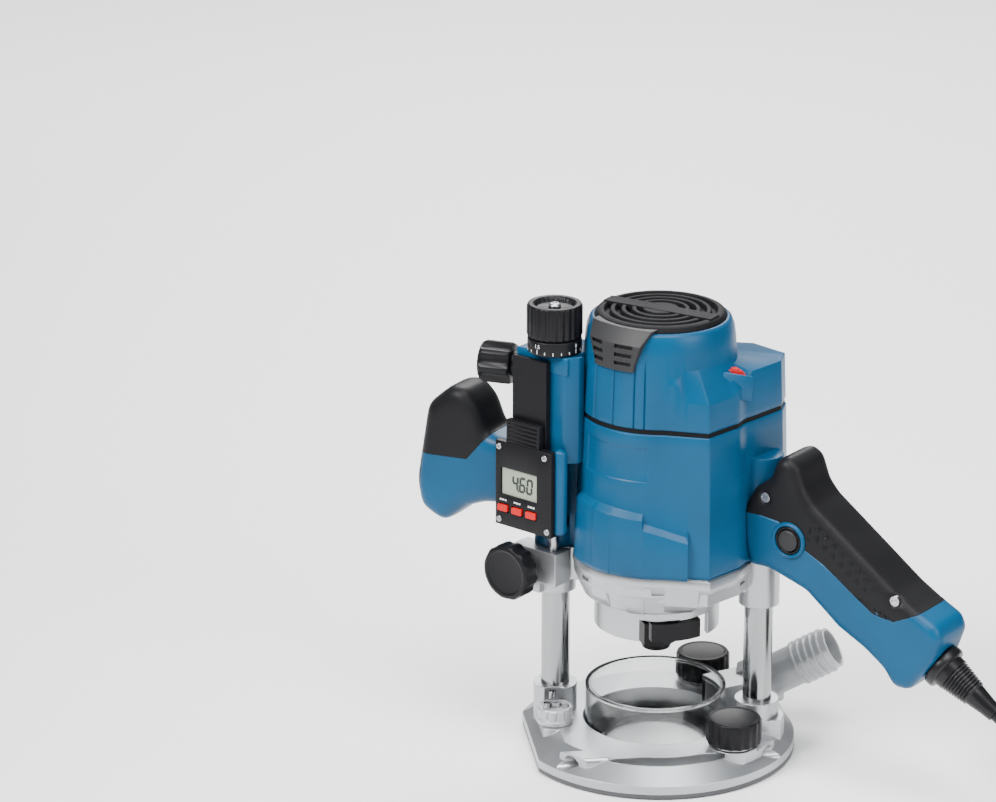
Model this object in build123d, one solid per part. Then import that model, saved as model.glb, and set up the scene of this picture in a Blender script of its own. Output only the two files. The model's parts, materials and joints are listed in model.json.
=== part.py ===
from build123d import *
from math import cos, radians, sin, tan
import os

# Plunge router with a digital depth gauge. Millimetres, +Z up.
# Row frame: origin on the spindle axis at the sole's underside, +X along the parallel-guide rods.
# Motor frame: the row frame turned about Z, with X' running from the left column to the right one.
# Depth frame: turned again, with the gauge facing -Y.
# Handle frames: X outward from a column, Y across the handle, Z up.

# Driving dimensions
MOTOR_TURN = -19
DEPTH_TURN = -47.5
RIGHT_TURN = -25
LEFT_TURN = 160

# Base
BASE_R = 83
FLAT_X = -75
SOLE_THICK = 3
SOLE_OPENING_R = 30
RIM_TOP = 8
PLATEAU = 17
SLOPE_ANGLE = 60
CAST_OPENING_R = 43
ROD_Y = 50.5
ROD_Z = 12
ROD_BORE_R = 4.05
KNOB_X = 38
SOLE_SCREW_R = 64
SOLE_SCREW_ANGLES = (20, 122, 200, 262)
SOLE_SCREW_TOP = 7.4

# Columns
COLUMN_X = 60.7
COLUMN_R = 8.5
COLUMN_BORE_R = 6.2
COLUMN_FOOT = 9
BOSS_R = 13
BOSS_TOP = 34
LEFT_COLUMN_TOP = 180
RIGHT_COLUMN_TOP = 120
SLEEVE_R = 12
SLEEVE_BOTTOM = 95
BUSH_R = 10.3
RUNNING_FIT = 0.05
SPRING_R = 5
SPRING_WIRE_R = 0.65
SPRING_FOOT = 20

# Dust duct, spout and hood latch
DUCT_TURN = 20
SPOUT_START = (69, 26.5, 24)
SPOUT_END = (110, 12, 50)
SPOUT_R = 12.5
SPOUT_BORE_R = 11
LATCH_AT = (58, 43.5)
LATCH_TURN = 50

# Turret stop
TURRET = (-60.5, -0.5)
TURRET_R = 10.5
TURRET_TOP = 27

# Motor unit
CAST_TOP = 124
CAST_FLOOR = 100
CAST_R = 49
CHIN_R = 37
CHIN_BOTTOM = 79
HOUSING_TOP = 212
HOUSING_TAPER = 2
WALL = 3
TOWER_R = 12.6
TOWER_TOP = 247
DECK_THICK = 12
DRUM_R = 44
DRUM_TOP = 258
LOBE_TOP = 244
CORNER_TOP = 236
CAP_R = 39
CAP_TOP = 272
PANEL_ANGLE = -118
DIAL_R = 9
DIAL_AT = Pos(43, -14, 234.5) * Rot(0, 0, 35)
LOCK_KNOB_Z = 231
LOCK_KNOB_ANGLE = 172
COLUMN_ROOM_R = 9.2
LEFT_ROOM_TOP = 243
RIGHT_ROOM_TOP = 184

# Rotor and motor
SPINDLE_R = 8.5
NOSE_R = 8
COLLET_R = 4
COLLET_OUTER_R = 6.5
NUT_BOTTOM = 62
NUT_TOP = 79
NUT_FLATS = 19
AIR_GAP = 0.6
CORE_BOTTOM = 150
CORE_TOP = 195
ARMATURE_R = 22
STATOR_R = 42.5
COMMUTATOR_R = 13
BRUSH_Z = 217
LOWER_BEARING = (90, 8.5, 17.5, 10)
UPPER_BEARING = (230, 4, 11, 7)

# Depth gauge, in the depth frame
GAUGE_FRONT = -60
GAUGE_X = (-74, -32)
GAUGE_Z = (139, 191)
GAUGE_BACK = -49.4
GRIP_TOP = 205
BAR_X = (-66, -41)
BAR_Y = (-54, -50.2)
BAR_TOP = 243
ROD_AT = (-44.9, -41.6)
DEPTH_ROD_R = 3
DEPTH_ROD_Z = (101, 224)
BUTTON_SIZE = (7.5, 4)
BUTTON_XS = (-68, -57.4, -46.8)
BUTTON_Z = 150
KNOB_R = 16.2
SCALE_RING_TOP = 256
FINE_KNOB_TOP = 276
CLAMP_AT = (-62, 112)
CLAMP_R = 17

# Right handle, trigger, lock-on button and strain relief, in the right handle's frame
RIGHT_SIDE = [
    (4, 124), (-6, 152), (6, 172), (16, 180), (20, 192), (27, 195), (34, 190.5), (39, 177), (45, 170),
    (82, 143.5), (102, 129), (115, 121.5), (129, 114.5), (132.4, 107), (127, 91), (112, 71.5),
    (102, 71.5), (95, 81), (82, 90), (64, 99), (42, 116), (16, 124)]
SPLIT = [(-20, 156), (13, 157), (24, 156), (42, 142.5), (55, 136.5), (75, 123), (89, 114), (102, 112.5),
         (119, 120.5), (130, 135), (90, 230), (-20, 230)]
TRIGGER_PIVOT = (2, 134)
TRIGGER_SIDE = [(13.5, 127), (13.5, 133), (20, 133), (43, 121.5), (40, 118), (33, 116), (16, 122.5)]
TRIGGER_LIFT = 4
LOCK_AT = (31.5, 146)
LOCK_R = 6.5
LOCK_TRAVEL = 3
GRIP_SCREWS = ((102, 124.8), (14, 168))
RELIEF_AT = Pos(122.2, 0, 88) * Rot(0, 31, 0)
RELIEF_LENGTH = 45

# Cord: points of the free stretch, then the put-away coil, in the row frame
CORD_R = 4
COIL_AT = (250, -108)
COIL_MID_R = 44
COIL_TOP = 24
PLUG_TURN = -60
CORD_ROUTE = [
    (172.57, -131.4, 64.67),
    (184.5, -142.9, 54.7),
    (196.5, -153.5, 38.5),
    (209.5, -162.5, 21.5),
    (227.0, -169.5, 8.6),
    (249.0, -171.0, 4.0),
    (271.0, -164.5, 4.0),
    (288.0, -151.0, 4.0),
    (299.0, -133.5, 4.0),
]

MOTOR = Rot(0, 0, MOTOR_TURN)
DEPTH = Rot(0, 0, DEPTH_TURN)
RIGHT = MOTOR * Pos(60, 0, 0) * Rot(0, 0, RIGHT_TURN)
LEFT = MOTOR * Pos(-COLUMN_X, 0, 0) * Rot(0, 0, LEFT_TURN)
MOTOR_FROM_DEPTH = Rot(0, 0, DEPTH_TURN - MOTOR_TURN)
MOTOR_FROM_RIGHT = Pos(60, 0, 0) * Rot(0, 0, RIGHT_TURN)
DUCT_AT = Rot(0, 0, DUCT_TURN)
LOCK_KNOB_AT = MOTOR * Pos(-COLUMN_X, 0, LOCK_KNOB_Z) * Rot(0, 0, LOCK_KNOB_ANGLE) * Rot(0, 90, 0)
TOWER_IN_DEPTH = (
    -COLUMN_X * cos(radians(MOTOR_TURN - DEPTH_TURN)),
    -COLUMN_X * sin(radians(MOTOR_TURN - DEPTH_TURN)),
)
UP = (Align.CENTER, Align.CENTER, Align.MIN)


def post(radius, bottom, top, x=0, y=0):
    return Pos(x, y, bottom) * Cylinder(radius, top - bottom, align=UP)


def tube(outer, inner, bottom, top, x=0, y=0):
    return post(outer, bottom, top, x, y) - post(inner, bottom - 1, top + 1, x, y)


def block(x, y, z):
    """A box between two limits on each axis."""
    size = Box(x[1] - x[0], y[1] - y[0], z[1] - z[0])
    return Pos(sum(x) / 2, sum(y) / 2, sum(z) / 2) * size


def plate(points, bottom, top, rounding=0):
    """A flat-sided prism standing on a plan outline, with rounded vertical edges."""
    outline = Polygon(*points, align=None)
    if rounding:
        outline = fillet(outline.vertices(), rounding)
    return extrude(Pos(0, 0, bottom) * outline, amount=top - bottom)


def profile(points, rounding=0, grow=0):
    """A side outline on the XZ plane."""
    outline = Polygon(*points, align=None)
    if rounding:
        outline = fillet(outline.vertices(), rounding)
    if grow:
        outline = offset(outline, amount=grow)
    return Plane.XZ * outline


def slab(points, half_width, rounding=0, grow=0):
    """A side outline thickened both ways across Y."""
    return extrude(profile(points, rounding, grow), amount=half_width, both=True)


def turned(points):
    """A solid of revolution about Z from its (radius, height) outline."""
    return revolve(Plane.XZ * Polygon(*points, align=None), axis=Axis.Z)


def across(radius, y_low, y_high, x, z):
    """A cylinder along Y."""
    return Pos(x, y_high, z) * Rot(90, 0, 0) * Cylinder(radius, y_high - y_low, align=UP)


def around(count, start=0):
    return [start + 360 / count * i for i in range(count)]


def group(solids):
    """Separate solids kept together as one piece."""
    return Compound(children=list(solids))


def place(frame, shape):
    """A shape, or each solid of a group, moved from its own frame to the row frame."""
    solids = [frame * solid for solid in shape.solids()]
    return solids[0] if len(solids) == 1 else group(solids)


def ring_of(shape, angles):
    """Copies of a shape turned about Z, as one group."""
    return group(Rot(0, 0, a) * shape for a in angles)


def lobed(radius, bite, count, bottom, top):
    """A knob body with rounded finger grooves."""
    body = post(radius, bottom, top)
    body = chamfer(body.edges().filter_by(GeomType.CIRCLE), 1.2)
    for a in around(count):
        body -= Rot(0, 0, a) * post(bite, bottom - 1, top + 1, radius + bite * 0.62)
    return body


# ---------------------------------------------------------------- base

def base_outline():
    wide = BASE_R - FLAT_X
    return Circle(BASE_R) & (Pos(FLAT_X + wide / 2, 0) * Rectangle(wide, 2 * BASE_R))


def column_spots():
    return [(x * cos(radians(MOTOR_TURN)), x * sin(radians(MOTOR_TURN))) for x in (-COLUMN_X, COLUMN_X)]


def sole_screw_spots():
    return [(SOLE_SCREW_R * cos(radians(a)), SOLE_SCREW_R * sin(radians(a))) for a in SOLE_SCREW_ANGLES]


def sole_screw():
    head = turned([(0, 0.3), (3.6, 0.3), (3.6, 0.6), (2, 2.2), (2, SOLE_SCREW_TOP), (0, SOLE_SCREW_TOP)])
    return head - block((-2.6, 2.6), (-0.4, 0.4), (0, 0.9))


def make_sole_plate():
    sole = extrude(base_outline(), amount=SOLE_THICK)
    sole -= post(SOLE_OPENING_R, -1, SOLE_THICK + 1)
    for x, y in sole_screw_spots():
        sole -= Pos(x, y, 0) * turned([(0, -1), (3.6, -1), (3.6, 0.6), (2, 2.2), (2, 4), (0, 4)])
    for x, y in column_spots():
        sole -= post(5.5, -1, SOLE_THICK + 1, x, y)
    return chamfer(sole.faces().sort_by(Axis.Z)[0].outer_wire().edges(), 0.8)


def make_base_casting():
    outline = base_outline()
    body = extrude(Pos(0, 0, SOLE_THICK) * outline, amount=RIM_TOP - SOLE_THICK)
    body += extrude(Pos(0, 0, RIM_TOP) * outline, amount=PLATEAU - RIM_TOP, taper=SLOPE_ANGLE)
    room = post(BASE_R - 6, SOLE_THICK, PLATEAU + 20) & block((FLAT_X + 6, 80), (-80, 80), (0, 60))
    for side in (-1, 1):
        ridge = block((-66, 70), sorted((side * 43, side * 58.5)), (SOLE_THICK, PLATEAU))
        body += fillet(ridge.edges().filter_by(Axis.X).group_by(Axis.Z)[-1], 3) & room
        body += post(14.5, SOLE_THICK, PLATEAU + 1.5, KNOB_X, side * ROD_Y) & room
    body += post(14, SOLE_THICK, PLATEAU, *TURRET) & room
    for x, y in column_spots():
        body += post(BOSS_R, SOLE_THICK, BOSS_TOP, x, y)
    body += block((52, 74), (-33, -8), (SOLE_THICK, 24)) & room
    recess = tube(70, 61, PLATEAU - 7, PLATEAU + 1) - block((-90, 90), (-58.6, 90), (0, 60))
    body -= recess
    body -= post(CAST_OPENING_R, 0, BOSS_TOP + 1)
    body -= post(TURRET_R + 0.8, PLATEAU, BOSS_TOP + 1, *TURRET)
    body -= post(2.5, 6, PLATEAU + 1, *TURRET)
    for side in (-1, 1):
        body -= Pos(-90, side * ROD_Y, ROD_Z) * Rot(0, 90, 0) * Cylinder(ROD_BORE_R, 180, align=UP)
        body -= post(3.1, ROD_Z, PLATEAU + 2, KNOB_X, side * ROD_Y)
    for x, y in column_spots():
        body -= post(COLUMN_R, COLUMN_FOOT, BOSS_TOP + 1, x, y)
        body -= post(3.1, 0, COLUMN_FOOT, x, y)
        body -= post(5.5, 0, 5.4, x, y)
    for x, y in sole_screw_spots():
        body -= post(2, SOLE_THICK - 1, SOLE_SCREW_TOP + 0.2, x, y)
    return body - spout_room()


def make_column(index, top):
    x, y = column_spots()[index]
    column = tube(COLUMN_R, COLUMN_BORE_R, COLUMN_FOOT, top, x, y)
    column += tube(COLUMN_BORE_R, 3, COLUMN_FOOT, SPRING_FOOT, x, y)
    return chamfer(column.faces().sort_by(Axis.Z)[-1].outer_wire().edges(), 1)


def make_column_bolts():
    bolt = post(5, 1.2, 5.4) + post(3, 5.4, 18)
    bolt -= plate([(2.5 * cos(radians(a)), 2.5 * sin(radians(a))) for a in around(6)], 1, 3.6)
    return group(Pos(x, y, 0) * bolt for x, y in column_spots())


def spring(top):
    turns = round((top - SPRING_FOOT) / 9)
    height = top - SPRING_FOOT - 2 * SPRING_WIRE_R - 0.4
    path = Pos(0, 0, SPRING_FOOT + SPRING_WIRE_R + 0.2) * Helix(height / turns, height, SPRING_R)
    section = Plane(origin=path @ 0, z_dir=path % 0) * Circle(SPRING_WIRE_R)
    return sweep(section, path=path)


def make_column_springs():
    tops = (LEFT_ROOM_TOP, RIGHT_ROOM_TOP)
    springs = [Pos(x, y, 0) * spring(top) for (x, y), top in zip(column_spots(), tops)]
    return group(springs)


def make_turret_pivot():
    pin = post(2.4, 8, TURRET_TOP + 1, *TURRET)
    head = post(4, TURRET_TOP + 0.3, TURRET_TOP + 2.6, *TURRET)
    return pin + head - Pos(*TURRET, TURRET_TOP + 2.4) * Box(9, 0.8, 1.4)


def make_stop_turret():
    drum = post(TURRET_R, PLATEAU + 0.3, TURRET_TOP)
    drum += post(TURRET_R + 0.5, PLATEAU + 0.3, PLATEAU + 3)
    drum = chamfer(drum.faces().sort_by(Axis.Z)[-1].edges(), 0.8)
    for a in around(12):
        drum -= Rot(0, 0, a) * post(1.2, PLATEAU + 4, TURRET_TOP + 1, TURRET_R + 0.6)
    drum -= post(2.45, 0, TURRET_TOP + 1)
    for a in turret_screw_angles():
        drum -= Rot(0, 0, a) * post(2.1, PLATEAU + 2, TURRET_TOP + 1, 6.6)
    return Pos(*TURRET, 0) * drum


def turret_screw_angles():
    return (95, 215, 335)


def make_turret_screws():
    heights = (33.5, 30.5, TURRET_TOP + 1)
    screws = []
    for angle, top in zip(turret_screw_angles(), heights):
        screw = post(2.1, PLATEAU + 2, top, 6.6) - Pos(6.6, 0, top) * Box(5, 0.7, 1.6)
        screws.append(Pos(*TURRET, 0) * Rot(0, 0, angle) * screw)
    return group(screws)


def make_guide_clamp_knob(side):
    seat = PLATEAU + 1.8
    knob = lobed(KNOB_R, 2.2, 16, seat + 1.4, 36)
    knob = knob + post(12, seat, seat + 1.4) + post(3, ROD_Z + ROD_BORE_R + 0.3, seat)
    return Pos(KNOB_X, side * ROD_Y, 0) * knob


def duct_block(grow=0.0):
    """The flat duct that leads from the hood to the spout, in a frame turned to the duct."""
    return block((40, 74 + grow), (-12 - grow, 12 + grow), (PLATEAU - 6 - grow, 31 + grow))


def spout_plane():
    start = Vector(*SPOUT_START)
    along = Vector(*SPOUT_END) - start
    return Plane(origin=start, z_dir=along.normalized()), along.length


def spout_elbow(grow=0.0):
    """The eight-sided elbow at the foot of the spout."""
    corner = 16 + grow
    points = [(corner * cos(radians(a)), corner * sin(radians(a))) for a in around(8, 22.5)]
    plane, _ = spout_plane()
    return plane * plate(points, -8 - grow, 8 + grow)


def spout_room():
    return spout_elbow(0.3) + DUCT_AT * duct_block(0.3)


def make_dust_hood():
    hood = tube(41.8, 39.8, SOLE_THICK, 38)
    hood += tube(41.8, SOLE_OPENING_R + 1, SOLE_THICK, SOLE_THICK + 2)
    hood += tube(41.8, 38.6, 36.4, 38)
    hood -= DUCT_AT * block((30, 50), (-10, 10), (PLATEAU - 3.4, 28.4))
    return hood


def make_dust_spout():
    plane, length = spout_plane()
    spout = plane * post(SPOUT_R, -8, length)
    for i in range(5):
        rib = length - 6 - 4.4 * i
        spout += plane * post(SPOUT_R + 1.3, rib, rib + 1.6)
    spout += spout_elbow()
    spout += DUCT_AT * duct_block()
    spout = spout & block((30, 140), (-40, 70), (PLATEAU - 6, 90))
    spout -= plane * post(SPOUT_BORE_R, -4, length + 1)
    spout -= DUCT_AT * block((39, 71), (-10, 10), (PLATEAU - 4, 29))
    spout -= post(42, 0, 60)
    return spout


def make_hood_latch():
    outline = [(-8, -3.5), (6, -3.5), (9.5, -1), (9.5, 1), (6, 3.5), (-8, 3.5)]
    lever = plate(outline, PLATEAU + 0.3, PLATEAU + 2.9, 0.8)
    lever += block((5, 8.5), (-3, 3), (PLATEAU + 2, PLATEAU + 7))
    return Pos(*LATCH_AT, 0) * Rot(0, 0, LATCH_TURN) * lever


# ---------------------------------------------------------------- motor unit, in the motor frame

def housing_outline(grow=0.0):
    """Plan of the motor housing: a drum, a front corner and an electronics lobe at the rear right."""
    corner = Polygon((0, -48), (38, -48), (53, -25), (57, -10), (57, 20), (0, 20), align=None)
    lobe = Polygon((30, -20), (57, -14), (73, 14), (73, 30), (52, 46), (30, 46), (14, 36), align=None)
    outline = Circle(CAST_R) + fillet(corner.vertices(), 4.5) + fillet(lobe.vertices(), 5)
    if grow:
        outline = offset(outline, amount=grow)
    return outline


def tapered(outline, bottom, top):
    return extrude(Pos(0, 0, bottom) * outline, amount=top - bottom, taper=HOUSING_TAPER)


def make_plunge_casting():
    top = CAST_TOP
    body = turned([(0, CAST_FLOOR), (44, CAST_FLOOR), (CAST_R, 112), (CAST_R, top), (0, top)])
    body += tube(CHIN_R, CHIN_R - 4, CHIN_BOTTOM, CAST_FLOOR + 1)
    body += post(21.5, LOWER_BEARING[0] - 2, CAST_FLOOR + 1)
    front = Polygon((0, -47), (37, -47), (52, -25), (56, -10), (56, 10), (0, 10), align=None)
    body += extrude(Pos(0, 0, 108) * front, amount=top - 108)
    for side in (-1, 1):
        body += post(SLEEVE_R, SLEEVE_BOTTOM, top, side * COLUMN_X)
        body += block(sorted((side * 30, side * COLUMN_X)), (-10, 10), (104, top))
    boss = block((-70, -38), (-48.4, -35), (104, top))
    boss += block((-62, -52), (-46, -40), (96, 105))
    body += MOTOR_FROM_DEPTH * boss
    body -= post(45, 105, top + 1)
    body -= post(16.5, 0, 106)
    body -= post(LOWER_BEARING[2], LOWER_BEARING[0], 106)
    body -= Rot(0, 0, -62) * block((20, 44), (-21, 21), (CHIN_BOTTOM - 1, 92.5))
    for side in (-1, 1):
        body -= post(BUSH_R, SLEEVE_BOTTOM + 2, top + 1, side * COLUMN_X)
        body -= post(COLUMN_R + 0.4, 90, 98, side * COLUMN_X)
    for angle in around(6, 40):
        body -= Rot(0, 0, angle) * block((46, 60), (-4, 4), (113, 121)) & post(60, 113, 121)
    body -= MOTOR_FROM_DEPTH * post(DEPTH_ROD_R + 0.3, 90, 130, *ROD_AT)
    body -= MOTOR_FROM_DEPTH * across(4.1, -49, -38, *CLAMP_AT)
    return body


def make_column_bushes():
    length = (SLEEVE_BOTTOM + 2, CAST_TOP)
    return group(tube(BUSH_R, COLUMN_R + RUNNING_FIT, *length, side * COLUMN_X) for side in (-1, 1))


def tower_deck():
    """The flat top of the left tower, which carries the fine-adjustment knob."""
    points = [(-67, -49.8), (-36, -49.8), (-27, -41), (-27, -24), (-44, -13), (-62, -15), (-68, -30)]
    return MOTOR_FROM_DEPTH * plate(points, TOWER_TOP - DECK_THICK, TOWER_TOP, 3)


def make_motor_housing():
    body = tapered(housing_outline(), CAST_TOP, HOUSING_TOP)
    body += post(TOWER_R, CAST_TOP, TOWER_TOP, -COLUMN_X)
    body += block((-COLUMN_X, -38), (-8, 8), (CAST_TOP, HOUSING_TOP))
    body += block((-COLUMN_X, -48), (-7, 7), (HOUSING_TOP - 1, TOWER_TOP))
    body += post(TOWER_R, CAST_TOP, RIGHT_ROOM_TOP + 4, COLUMN_X)
    body += tower_deck()
    body += MOTOR_FROM_DEPTH * post(6, TOWER_TOP, TOWER_TOP + 11, *ROD_AT)
    body -= tapered(Circle(CAST_R - WALL), CAST_TOP, CORE_BOTTOM)
    body -= tapered(Circle(STATOR_R + 0.02), CORE_BOTTOM, HOUSING_TOP)
    body -= post(STATOR_R + 0.02, CORE_BOTTOM, HOUSING_TOP + 1)
    body -= block((44, 68), (12, 28), (CAST_TOP + 4, HOUSING_TOP + 1))
    body -= block((10, 52), (-44, -40), (CAST_TOP - 1, HOUSING_TOP + 1)) & post(50, 0, 300)
    body -= post(COLUMN_ROOM_R, CAST_TOP - 1, LEFT_ROOM_TOP, -COLUMN_X)
    body -= post(COLUMN_ROOM_R, CAST_TOP - 1, RIGHT_ROOM_TOP, COLUMN_X)
    body -= MOTOR_FROM_DEPTH * post(DEPTH_ROD_R + 0.4, 90, TOWER_TOP + 20, *ROD_AT)
    return body - MOTOR_FROM_RIGHT * trigger_room()


def make_top_cover():
    inset = (HOUSING_TOP - CAST_TOP) * tan(radians(HOUSING_TAPER))
    outline = housing_outline(-inset) - Pos(-COLUMN_X, 0) * Circle(TOWER_R + 0.6)
    body = tapered(outline, HOUSING_TOP, CORNER_TOP)
    lobe = Polygon((30, -16), (53, -12), (69, 14), (69, 27), (48, 42), (8, 42), align=None)
    body += tapered(fillet(lobe.vertices(), 4), CORNER_TOP - 1, LOBE_TOP)
    body += tapered(Circle(DRUM_R), CORNER_TOP - 1, DRUM_TOP)
    body -= post(39.5, HOUSING_TOP - 1, 240)
    body -= post(33, 239, DRUM_TOP + 1)
    body -= block((42, 64), (12, 28), (HOUSING_TOP - 1, 228))
    body += tube(15, UPPER_BEARING[2], UPPER_BEARING[0], 242)
    body += post(15, UPPER_BEARING[0] + UPPER_BEARING[3], 242)
    for angle in around(4, 45):
        body += Rot(0, 0, angle) * block((14, 41), (-2, 2), (238, 242))
    body -= DIAL_AT * across(DIAL_R + 0.6, -4.6, 4.6, 0, 0)
    body -= vent_panel(0.5)
    body -= MOTOR_FROM_DEPTH * post(17, TOWER_TOP - DECK_THICK - 0.3, 300, *ROD_AT)
    deck_room = [(-68, -51), (-36, -51), (-26, -42), (-26, -23), (-44, -12), (-62, -14), (-69, -30)]
    body -= MOTOR_FROM_DEPTH * plate(deck_room, TOWER_TOP - DECK_THICK - 0.3, 300)
    return body.solids().sort_by(SortBy.VOLUME)[-1]


def vent_panel(grow=0.0):
    """The slotted panel that comes down the front of the drum."""
    top, bottom = 262 + grow, 243 - grow
    side = [(28 - grow, top), (41.5 + grow, top), (47 + grow, bottom), (30 - grow, bottom)]
    return Rot(0, 0, PANEL_ANGLE) * slab(side, 19 + grow)


def make_vent_cap():
    cap = post(CAP_R, DRUM_TOP, CAP_TOP)
    cap = fillet(cap.faces().sort_by(Axis.Z)[-1].edges(), 5)
    cap += vent_panel()
    cap -= post(34, DRUM_TOP - 20, CAP_TOP - 5)
    for radius in (14, 20, 26, 32):
        slot = tube(radius, radius - 3, CAP_TOP - 6, CAP_TOP + 1)
        slot -= block((-40, 40), (-3, 3), (260, 280))
        slot -= block((-3, 3), (-40, 40), (260, 280))
        cap -= slot
    for offset_y in (-11, 0, 11):
        for drop in (0, 8):
            cap -= Rot(0, 0, PANEL_ANGLE) * block(
                (26, 50), (offset_y - 3, offset_y + 3), (247 + drop, 249.5 + drop))
    return cap


def make_left_parts():
    """The left handle's blue body and its soft grip."""
    side = [(8, 146), (8, 186), (40, 187), (47, 204), (56, 212.8), (66, 212.5), (82, 199),
            (90.2, 150), (87, 133), (71, 125), (55, 138), (41, 143.5)]
    whole = slab(side, 16.5, 3.5)
    whole = fillet(whole.faces().sort_by(Axis.Y)[0].edges(), 7)
    whole = fillet(whole.faces().sort_by(Axis.Y)[-1].edges(), 7)
    whole -= slab(side, 11, 3.5, -4.5)
    zone = slab([(30, 196), (52, 170), (84, 168), (87, 138), (100, 138), (100, 230), (30, 230)], 30)
    neck = post(TOWER_R + 0.02, 100, 260) + block((-40, 12.6), (-20, 20), (100, 260))
    return whole - zone - neck, (whole & zone)


def trigger_solid(grow=0.0):
    lever = slab(TRIGGER_SIDE, 8 + grow, 0, grow)
    cheek_side = [(-3, 128), (-3, 136), (6, 138), (15, 134), (15, 126), (6, 126)]
    for side in (-1, 1):
        cheek = slab(cheek_side, 2 + grow / 2, 0, grow)
        lever += Pos(0, side * 11.7, 0) * cheek
        lever += Pos(0, side * 9.5, 0) * slab([(13.5, 127), (13.5, 133), (18, 133), (18, 127)], 3, 0, grow)
    return lever


def make_right_parts():
    """The right handle's blue spine and the soft grip over it."""
    whole = slab(RIGHT_SIDE, 18, 2.5)
    whole = fillet(whole.faces().sort_by(Axis.Y)[0].edges(), 6)
    whole = fillet(whole.faces().sort_by(Axis.Y)[-1].edges(), 6)
    whole -= slab(RIGHT_SIDE, 13, 2.5, -4)
    neck = Rot(0, 0, -RIGHT_TURN) * Pos(-60, 0, 0) * (
        tapered(housing_outline(0.05), CAST_TOP - 1, HOUSING_TOP) + post(TOWER_R + 0.02, 90, 189, COLUMN_X))
    whole -= neck
    whole -= trigger_room()
    whole -= across(LOCK_R + 0.3, -30, -8, *LOCK_AT)
    whole -= RELIEF_AT * Rot(0, 90, 0) * (post(9.7, -12, 6) + post(14, 1.8, 20))
    for spot in GRIP_SCREWS:
        whole -= across(3.2, -19, -14.6, *spot) + across(1.7, -14.7, -7.9, *spot)
    zone = slab(SPLIT, 30)
    return whole - zone, whole & zone


def trigger_room():
    """The space that the trigger needs from rest to fully pulled."""
    room = trigger_solid(0.5)
    for lift in (TRIGGER_LIFT / 2, TRIGGER_LIFT):
        room += turn_trigger(trigger_solid(0.5), lift)
    return room


def turn_trigger(shape, degrees):
    x, z = TRIGGER_PIVOT
    return Pos(x, 0, z) * Rot(0, -degrees, 0) * Pos(-x, 0, -z) * shape


def make_lock_button():
    button = across(LOCK_R, -20.5, -8.5, *LOCK_AT)
    return chamfer(button.faces().sort_by(Axis.Y)[0].edges(), 1)


def make_strain_relief():
    outline = [(0, -11), (9.6, -11), (9.6, 2), (13.5, 2), (13.5, 8), (9.5, 10), (8.6, 16),
               (4.9, RELIEF_LENGTH), (0, RELIEF_LENGTH)]
    return RELIEF_AT * Rot(0, 90, 0) * turned(outline)


def make_grip_screws():
    screw = across(3, -17, -14.6, 0, 0) + across(1.6, -14.7, -8, 0, 0)
    screw -= block((-2, 2), (-18, -16.2), (-0.5, 0.5))
    return group(Pos(x, 0, z) * screw for x, z in GRIP_SCREWS)


def make_switch_module():
    body = Pos(56, 0, 137) * Rot(0, 36, 0) * Box(30, 15, 15)
    return body + Pos(42.5, 0, 141) * Rot(0, 36, 0) * Box(5, 8, 6)


# ---------------------------------------------------------------- motor internals

def race(bearing, part):
    bottom, inner, outer, height = bearing
    span = outer - inner
    if part == "outer":
        return [tube(outer, outer - 0.3 * span, bottom, bottom + height)]
    ring = tube(inner + 0.3 * span, inner, bottom, bottom + height)
    ball = Pos(inner + span / 2, 0, bottom + height / 2) * Sphere(0.2 * span - 0.05)
    return [ring, *[Rot(0, 0, a) * ball for a in around(8)]]


def make_outer_races():
    return group(race(LOWER_BEARING, "outer") + race(UPPER_BEARING, "outer"))


def make_inner_races():
    return group(race(LOWER_BEARING, "inner") + race(UPPER_BEARING, "inner"))


def make_spindle():
    outline = [(0, 66), (NOSE_R, 66), (NOSE_R, 88), (SPINDLE_R, 88), (SPINDLE_R, 108), (6, 108), (6, 228),
               (4, 228), (4, 236.6), (0, 236.6)]
    return turned(outline) - post(COLLET_OUTER_R + 0.05, 60, 87)


def make_collet():
    outline = [(COLLET_R, 65.2), (5.4, 65.2), (COLLET_OUTER_R, 67), (COLLET_OUTER_R, 86), (COLLET_R, 86)]
    collet = turned(outline)
    for angle in (0, 90):
        collet -= Rot(0, 0, angle) * block((-10, 10), (-0.4, 0.4), (65, 80))
    return collet


def make_collet_nut():
    nut = extrude(Pos(0, 0, NUT_BOTTOM + 3) * RegularPolygon(NUT_FLATS / 2, 6, major_radius=False),
                  amount=NUT_TOP - NUT_BOTTOM - 3)
    nut += turned([(0, NUT_BOTTOM), (8.2, NUT_BOTTOM), (9.4, NUT_BOTTOM + 3.1), (0, NUT_BOTTOM + 3.1)])
    nut -= post(NOSE_R + 0.01, NUT_BOTTOM + 3, NUT_TOP + 1)
    return nut - post(5.2, NUT_BOTTOM - 1, NUT_TOP)


def make_fan():
    fan = tube(10, 6, 109, 121) + tube(39, 9, 119, 121)
    blade = Pos(26, 0, 114) * Rot(0, 0, 28) * Box(24, 1.4, 11)
    for angle in around(11):
        fan += Rot(0, 0, angle) * blade
    return fan


def make_armature_core():
    core = tube(ARMATURE_R, 6, CORE_BOTTOM, CORE_TOP)
    for angle in around(12):
        core -= Rot(0, 0, angle) * block((14, 18.5), (-2, 2), (CORE_BOTTOM - 1, CORE_TOP + 1))
        core -= Rot(0, 0, angle) * block((18, 23), (-0.8, 0.8), (CORE_BOTTOM - 1, CORE_TOP + 1))
    return core


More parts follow.
